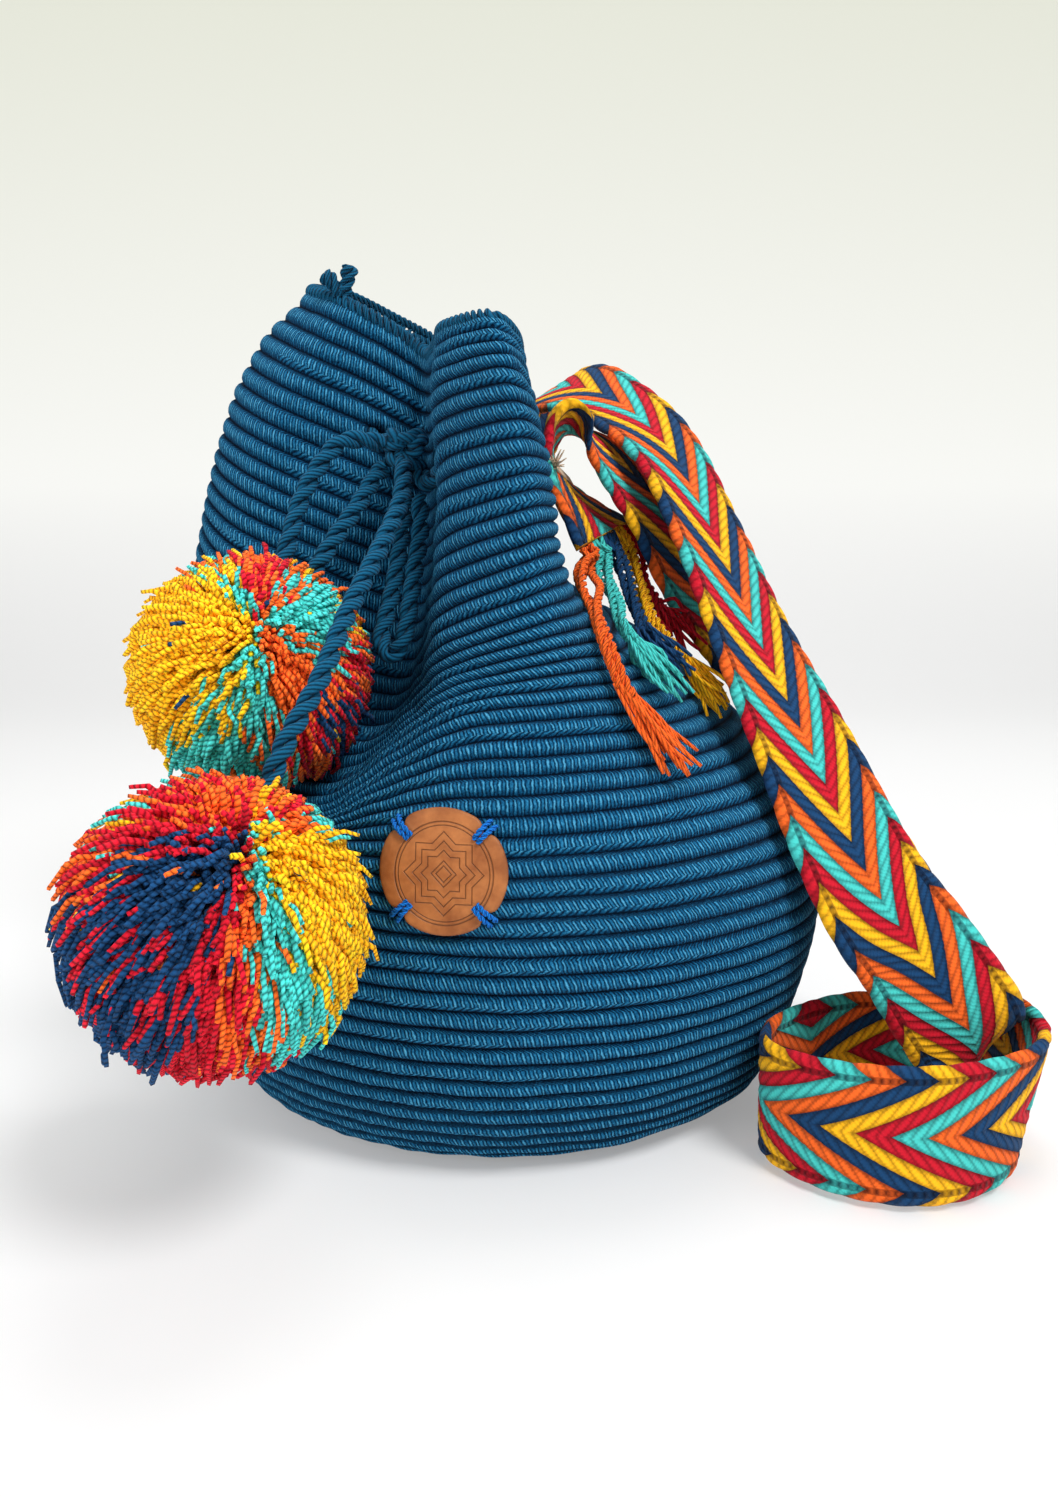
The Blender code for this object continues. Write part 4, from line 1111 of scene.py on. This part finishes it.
def make_rim_loops(material):
    """Loose edging behind the back rim: a slack plait, held to it by a few open chain loops."""
    columns = np.linspace(2.15, 4.05, 150)
    share = np.linspace(0, 1, len(columns))
    rim = rim_line(columns)
    lift = 0.0062 * np.sin(math.pi * share) ** 0.5
    slack = rim + np.stack([0 * lift, 0.25 * lift, lift], axis=1)
    shape = Shape()
    add_twisted(shape, slack, *SLACK_BRAID, plies=3, sides=7)
    steps = np.linspace(0.06, 0.62, 12)
    bottom = smooth_line(rim, steps * (len(rim) - 1))
    top = smooth_line(slack, steps * (len(rim) - 1))
    zigzag = np.where((np.arange(len(steps)) % 2 == 0)[:, None], bottom, top)
    add_twisted(shape, even_line(zigzag, 0.0008), *CHAIN_YARN, sides=7)
    return settle(shape.make("rim_slack_edging", material), "wool_teal")


def make_rim_knot(material):
    """The yarn tail tied off on the rim: two short fat tufts."""
    base = rim_line(5.95) + np.array((0, 0, 0.0025))
    shape = Shape()
    for lean in ((-0.62, -0.10, 0.72), (0.30, -0.15, 0.98)):
        tip = base + np.array(lean) * RIM_TUFT_LENGTH
        line = smooth_line((base, base * 0.5 + tip * 0.5 + (0.0004, 0, 0), tip), np.linspace(0, 2, 21))
        swell = np.interp(
            np.linspace(0, 1, 21), (0, 0.20, 0.45, 0.80, 0.94, 1), (0.55, 0.95, 0.80, 1.08, 1.0, 0.55)
        )
        add_twisted(shape, line, *RIM_TUFT, plies=3, sides=10, taper=swell)
    return settle(shape.make("rim_tail_knot", material), "wool_teal", "rim_knot")


# Strap

def band_frames(step):
    """Points of the strap's middle, a step apart, and the ways along it, across it and out of it."""
    route, widths = zip(*STRAP_ROUTE)
    at = even_places(route, step)
    middle = smooth_line(route, at)
    width_way = smooth_line(widths, at)
    along = unit(np.gradient(middle, axis=0))
    dot = (width_way * along).sum(axis=1, keepdims=True)
    across = unit(width_way - dot * along)
    face = np.cross(along, across)
    lowest = np.abs(across[:, 2]) * STRAP_WIDTH / 2 + np.abs(face[:, 2]) * STRAP_THICKNESS / 2
    middle[:, 2] = np.maximum(middle[:, 2], lowest + 0.0003)
    return middle, along, across, face


def stripe_place(across, along):
    """How many stripes along the V pattern a place of the band is."""
    away = np.abs(across)
    edge = STRAP_WIDTH * SELVEDGE_SHARE
    back = np.minimum(away, edge) * STRIPE_SLOPE - np.maximum(away - edge, 0) * SELVEDGE_SLOPE
    return (along - back) / STRIPE_PITCH + STRIPE_START


def make_strap(material):
    """The band, with a raised cord along each stripe and thick turned edges."""
    middle, _, across, face = band_frames(0.0014)
    along = lengths_along(middle)
    mirrored = np.abs(along - along[-1] / 2)
    shares = np.linspace(-1, 1, 33)
    round_off = np.sqrt(np.maximum(0, 1 - np.abs(shares) ** 10))
    grid, us = [], []
    for side, order in ((1, shares), (-1, shares[::-1])):
        profile = np.interp(order, shares, round_off)
        u = order * STRAP_WIDTH / 2
        stripe = stripe_place(u[None, :], mirrored[:, None])
        raised = np.abs(np.sin(stripe * math.pi)) ** 0.7
        off = np.abs(order)
        bulge = 0.22 * np.exp(-((off - 0.90) / 0.07) ** 2) - 0.20 * np.exp(-((off - 0.79) / 0.03) ** 2)
        high = STRAP_THICKNESS / 2 * (0.66 + 0.34 * raised + bulge[None, :]) * profile[None, :]
        spread = u[None, :] * (1 + 0.02 * (raised - 0.5) * (off > 0.93)[None, :])
        points = middle[:, None] + across[:, None] * spread[..., None]
        points = points + face[:, None] * (side * high)[..., None]
        grid.append(points[:, :-1])
        us.append(u[:-1])
    us = np.concatenate([us[0], us[1], us[0][:1]])
    shape = Shape()
    grid = np.concatenate(grid, axis=1)
    grid[..., 2] = np.maximum(grid[..., 2], 0.0)
    shape.add_grid(grid, us, mirrored)
    strap = settle(shape.make("woven_chevron_strap", material), "strap_weave", "shoulder_strap")
    return strap, along[-1]


def make_seam(name, station, side, material):
    """The sewing thread across a strap end: a tight zigzag with its ends tucked in, and a loose tuft."""
    middle, along, across, face = (values[station] for values in band_frames(0.010))
    shape = Shape()
    steps = 27
    shares = np.linspace(-0.5, 0.5, steps)
    height = STRAP_THICKNESS / 2 * 0.98 + 0.0003
    line = [
        middle + across * share * SEAM_WIDTH + along * (0.0016 if k % 2 else -0.0016) + face * side * height
        for k, share in enumerate(shares)
    ]
    add_tube(shape, smooth_line(line, np.linspace(0, steps - 1, 6 * steps)), SEAM_THREAD_RADIUS, sides=6)
    rng = np.random.default_rng(len(name))
    for _ in range(26):
        root = middle + across * (-0.018 + rng.normal(0, 0.0008)) + face * side * height
        tip = root - across * rng.uniform(0.002, 0.006) + rng.normal(0, 0.0018, 3)
        tip = tip + face * side * rng.uniform(0, 0.003)
        add_tube(shape, np.linspace(root, tip, 4), [0.0004, 0.0004, 0.00035, 0.0002], sides=4)
    return settle(shape.make(name + "_thread", material), "thread_beige", name)


def make_tassel(name, route, material, seed):
    """Loose plied yarns off the band's end: open at the top, laid together, cut and fanned at the tip."""
    rng = np.random.default_rng(seed)
    line = even_line(route, 0.0012)
    share = np.linspace(0, 1, len(line))
    near = "near" in name
    yarns = 3
    open_by = 0.0026 if "orange" in name and near else 0.0008
    opening = open_by * np.sin(np.clip(share / 0.42, 0, 1) * math.pi)
    _, side, other = frames_along(line)
    shape = Shape()
    plied = []
    for number in range(yarns):
        turn = 2 * math.pi * (number / yarns + share * 0.9) + seed
        drift = 0.0004 * np.sin(9 * share + number * 2.1)
        off = (0.0014 + opening + drift)[:, None]
        own = line + off * (np.cos(turn)[:, None] * side + np.sin(turn)[:, None] * other)
        own = own[:int(len(line) * 0.78) - int(rng.uniform(0, 0.06) * len(line))]
        add_twisted(shape, own, *FRINGE_YARN, sides=8, turn=number)
        plied.append(own)

    def add_loose_end(start, bend, end, radius, sides):
        points = smooth_line((start, bend, end), np.linspace(0, 2, 7))
        add_tube(shape, points, [radius] * 6 + [0.0006], sides=sides)

    for number in range(FRINGE_LOOSE_ENDS):
        start = plied[number % yarns][-3] + rng.normal(0, 0.0006, 3)
        end = line[-1] + rng.normal(0, 0.0038, 3) + (line[-1] - line[-4]) * rng.uniform(-1.8, 0.7)
        bend = start * 0.45 + end * 0.55 + rng.normal(0, 0.0016, 3)
        add_loose_end(start, bend, end, 0.00078, 5)
    if near:
        _, along, across, face = (values[0] for values in band_frames(0.0014))
        for _ in range(12):
            root = line[0] + along * 0.0010 + across * rng.uniform(-0.0044, 0.0044)
            root = root + face * rng.uniform(-0.0013, 0.0013)
            end = line[int(rng.uniform(6, 12))] + rng.normal(0, 0.0013, 3)
            bend = root * 0.55 + end * 0.45 - along * 0.0015 + rng.normal(0, 0.0007, 3)
            add_loose_end(root, bend, end, 0.0009, 6)
    return settle(shape.make(name + "_yarns", material), "yarn_" + name.split("_")[-1], name)


# Patch

def wall_tree():
    columns = np.arange(0, COLUMNS, 0.1)
    rings = np.linspace(0, TOP, 181)
    grid = wall_grid(columns, rings)
    faces, _ = grid_faces(len(rings), len(columns))
    return BVHTree.FromPolygons([Vector(p) for p in grid.reshape(-1, 3)], faces.tolist())


def front_of_wall(tree, across, up):
    point, normal, _, _ = tree.ray_cast(Vector((across, -1.0, up)), Vector((0, 1, 0)))
    if normal.y > 0:
        normal = -normal
    return np.array(point), np.array(normal)


def on_patch(tree, share, beyond, turn, lift):
    """A place on or near the patch: a share of its radius and a length beyond, at a turn, off the wall."""
    across = (PATCH_SIZE[0] / 2 + beyond) * share * math.cos(turn)
    up = (PATCH_SIZE[1] / 2 + beyond) * share * math.sin(turn)
    place, normal = front_of_wall(tree, PATCH_PLACE[0] + across, PATCH_PLACE[1] + up)
    return place + normal * lift


def make_patch(tree, material):
    """The leather disc: rounded edge, four small notches, bent with the wall."""
    sides, rings = 120, 14
    shares = np.concatenate([np.linspace(0.03, 0.955, rings), (0.985, 1.0, 0.99, 0.95, 0.5, 0.03)])
    lifts = np.concatenate([np.ones(rings), (0.93, 0.55, 0.12, 0.0, 0.0, 0.0)])
    angle = np.arange(sides) * 2 * math.pi / sides
    notch = PATCH_NOTCH * np.exp(-((np.cos(4 * angle) + 1) / 0.10))
    rows = [
        [on_patch(tree, share, -cut, turn, lift) for turn, cut in zip(angle, notch)]
        for share, lift in zip(shares, 0.0003 + lifts * PATCH_THICKNESS)
    ]
    shape = Shape()
    shape.add_grid(np.array(rows), np.arange(sides + 1) / sides, shares, flip=True)
    return settle(shape.make("leather_round_patch", material), "leather", "leather_patch")


def make_patch_stitch(tree, number, material):
    """Two turns of thread over the patch's edge at one notch."""
    turn = math.pi / 4 + number * math.pi / 2
    shape = Shape()
    for offset in (-0.055, 0.055):
        line = [
            on_patch(tree, 1.0, beyond - PATCH_NOTCH, turn + offset, lift)
            for beyond, lift in ((0.0042, 0.0004), (0.0012, 0.0030), (-0.0012, 0.0034), (-0.0036, 0.0024))
        ]
        add_twisted(shape, smooth_line(line, np.linspace(0, 3, 25)), *PATCH_THREAD, sides=8)
    name = f"patch_stitch_{number + 1}"
    return settle(shape.make(name + "_thread", material), "thread_blue", name)


# Studio

def make_studio():
    material = studio_material("pale_studio_paper", (0.90, 0.90, 0.90))
    width, front, back, rise = 6.0, -3.0, 2.2, 3.5
    profile = [(front, 0.0)]
    for step in range(13):
        angle = math.pi / 2 * step / 12
        profile.append((back - 1.2 + 1.2 * math.sin(angle), 1.2 - 1.2 * math.cos(angle)))
    profile.append((back, rise))
    points = [(x, y, z) for y, z in profile for x in (-width / 2, width / 2)]
    faces = [(2 * k, 2 * k + 1, 2 * k + 3, 2 * k + 2) for k in range(len(profile) - 1)]
    mesh = bpy.data.meshes.new("studio_sweep")
    mesh.from_pydata(points, [], faces)
    mesh.shade_smooth()
    mesh.materials.append(material)
    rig.stage(add_object("studio_sweep", mesh))


def add_lamp(name, place, target, size, power):
    lamp = bpy.data.lights.new(name, "AREA")
    lamp.shape = "DISK"
    lamp.size = size
    lamp.energy = power
    holder = add_object(name, lamp)
    holder.location = place
    aim = Vector(target) - Vector(place)
    holder.rotation_euler = aim.to_track_quat("-Z", "Y").to_euler()


def light_studio():
    world = bpy.data.worlds.new("studio_air")
    bpy.context.scene.world = world
    world.use_nodes = True
    tree = world.node_tree
    air = tree.nodes["Background"]
    air.inputs["Color"].default_value = (1.0, 1.0, 0.98, 1.0)
    air.inputs["Strength"].default_value = 0.46
    kinds = ("Background", "LightPath", "MixShader")
    white, path, mix = (tree.nodes.new("ShaderNode" + kind) for kind in kinds)
    white.inputs["Color"].default_value = (0.93, 0.935, 0.91, 1.0)
    for k, value in enumerate((path.outputs["Is Camera Ray"], air.outputs[0], white.outputs[0])):
        tree.links.new(value, mix.inputs[k])
    tree.links.new(mix.outputs[0], tree.nodes["World Output"].inputs["Surface"])
    add_lamp("key_lamp", (0.65, -0.85, 1.45), (0, 0, 0.12), 0.6, 19.0)
    add_lamp("fill_lamp", (-1.3, -1.0, 0.9), (0, 0, 0.12), 1.0, 8.0)
    add_lamp("top_lamp", (0.1, 0.5, 1.7), (0, 0, 0.15), 1.0, 9.0)
    bpy.context.scene.view_settings.view_transform = "Standard"


def make_cords(yarn, pompoms):
    """The free cords, each from the knot to what it ends in."""
    rows = (
        ("drawstring_end_front", FRONT_CORD_ROUTE, "fitting", [pompoms["pompom_front"]]),
        ("drawstring_end_back", BACK_CORD_ROUTE, "fitting", [pompoms["pompom_back"]]),
        ("drawstring_return", RETURN_CORD_ROUTE, "object", []),
        ("drawstring_loop", LOOP_ROUTE, "object", []),
    )
    for name, route, far_end, with_pieces in rows:
        piece, line = make_cord(name, route, yarn)
        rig.cord(
            piece, exit=line[0], length=float(lengths_along(line)[-1]), diameter=CORD_DIAMETER,
            far_end=far_end, stiffness="limp", lay="hanging", path=line, with_pieces=with_pieces,
        )


def main():
    make_camera()
    cord_yarn = yarn_material("blue_cord_yarn", CORD_BLUE, light=2.6, strands=4.0, lay=0.0040)
    pompom_yarn = yarn_material("pompom_cut_yarn", None, light=1.9, strands=1.0, lay=0.0020, depth=0.0005)
    pompoms = {}
    for seed, name in enumerate(POMPOMS):
        pompoms[name] = make_pompom(name, pompom_yarn, 11 + seed)
    make_cords(cord_yarn, pompoms)
    make_neck_cord(cord_yarn)
    make_knot(cord_yarn)
    make_bag(crochet_material())
    rim_yarn = yarn_material("teal_rim_yarn", CORD_BLUE, light=2.4, lay=0.0030)
    make_rim_braid(rim_yarn)
    make_rim_loops(rim_yarn)
    make_rim_knot(rim_yarn)
    tree = wall_tree()
    make_patch(tree, leather_material())
    blue_thread = yarn_material("bright_blue_thread", STITCH_BLUE, strands=2.0, lay=0.0016, depth=0.0002)
    for number in range(4):
        make_patch_stitch(tree, number, blue_thread)
    strap, length = make_strap(strap_material())
    yarns = {
        colour: yarn_material(colour + "_plied_yarn", tint, light=1.4, lay=0.0036)
        for colour, tint in YARN.items()
    }
    fringe = [
        make_tassel(name, route, yarns[name.split("_")[-1]], 31 + seed)
        for seed, (name, route) in enumerate(TASSELS.items())
    ]
    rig.sheet(
        strap, flat=(STRAP_WIDTH, length), held="draped", rests_on=["bag_crochet_body"], with_pieces=fringe
    )
    beige = yarn_material("beige_sewing_thread", SEAM_BEIGE, strands=2.0, lay=0.0014, depth=0.0002)
    make_seam("strap_seam_near", 3, -1, beige)
    make_seam("strap_seam_far", -3, 1, beige)
    make_studio()
    light_studio()


main()
model_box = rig.bounds()
with open("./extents.json", "w") as sizes:
    json.dump({"cad": [list(map(float, corner)) for corner in CAD_BOX],
               "visual": [list(map(float, corner)) for corner in model_box]}, sizes)
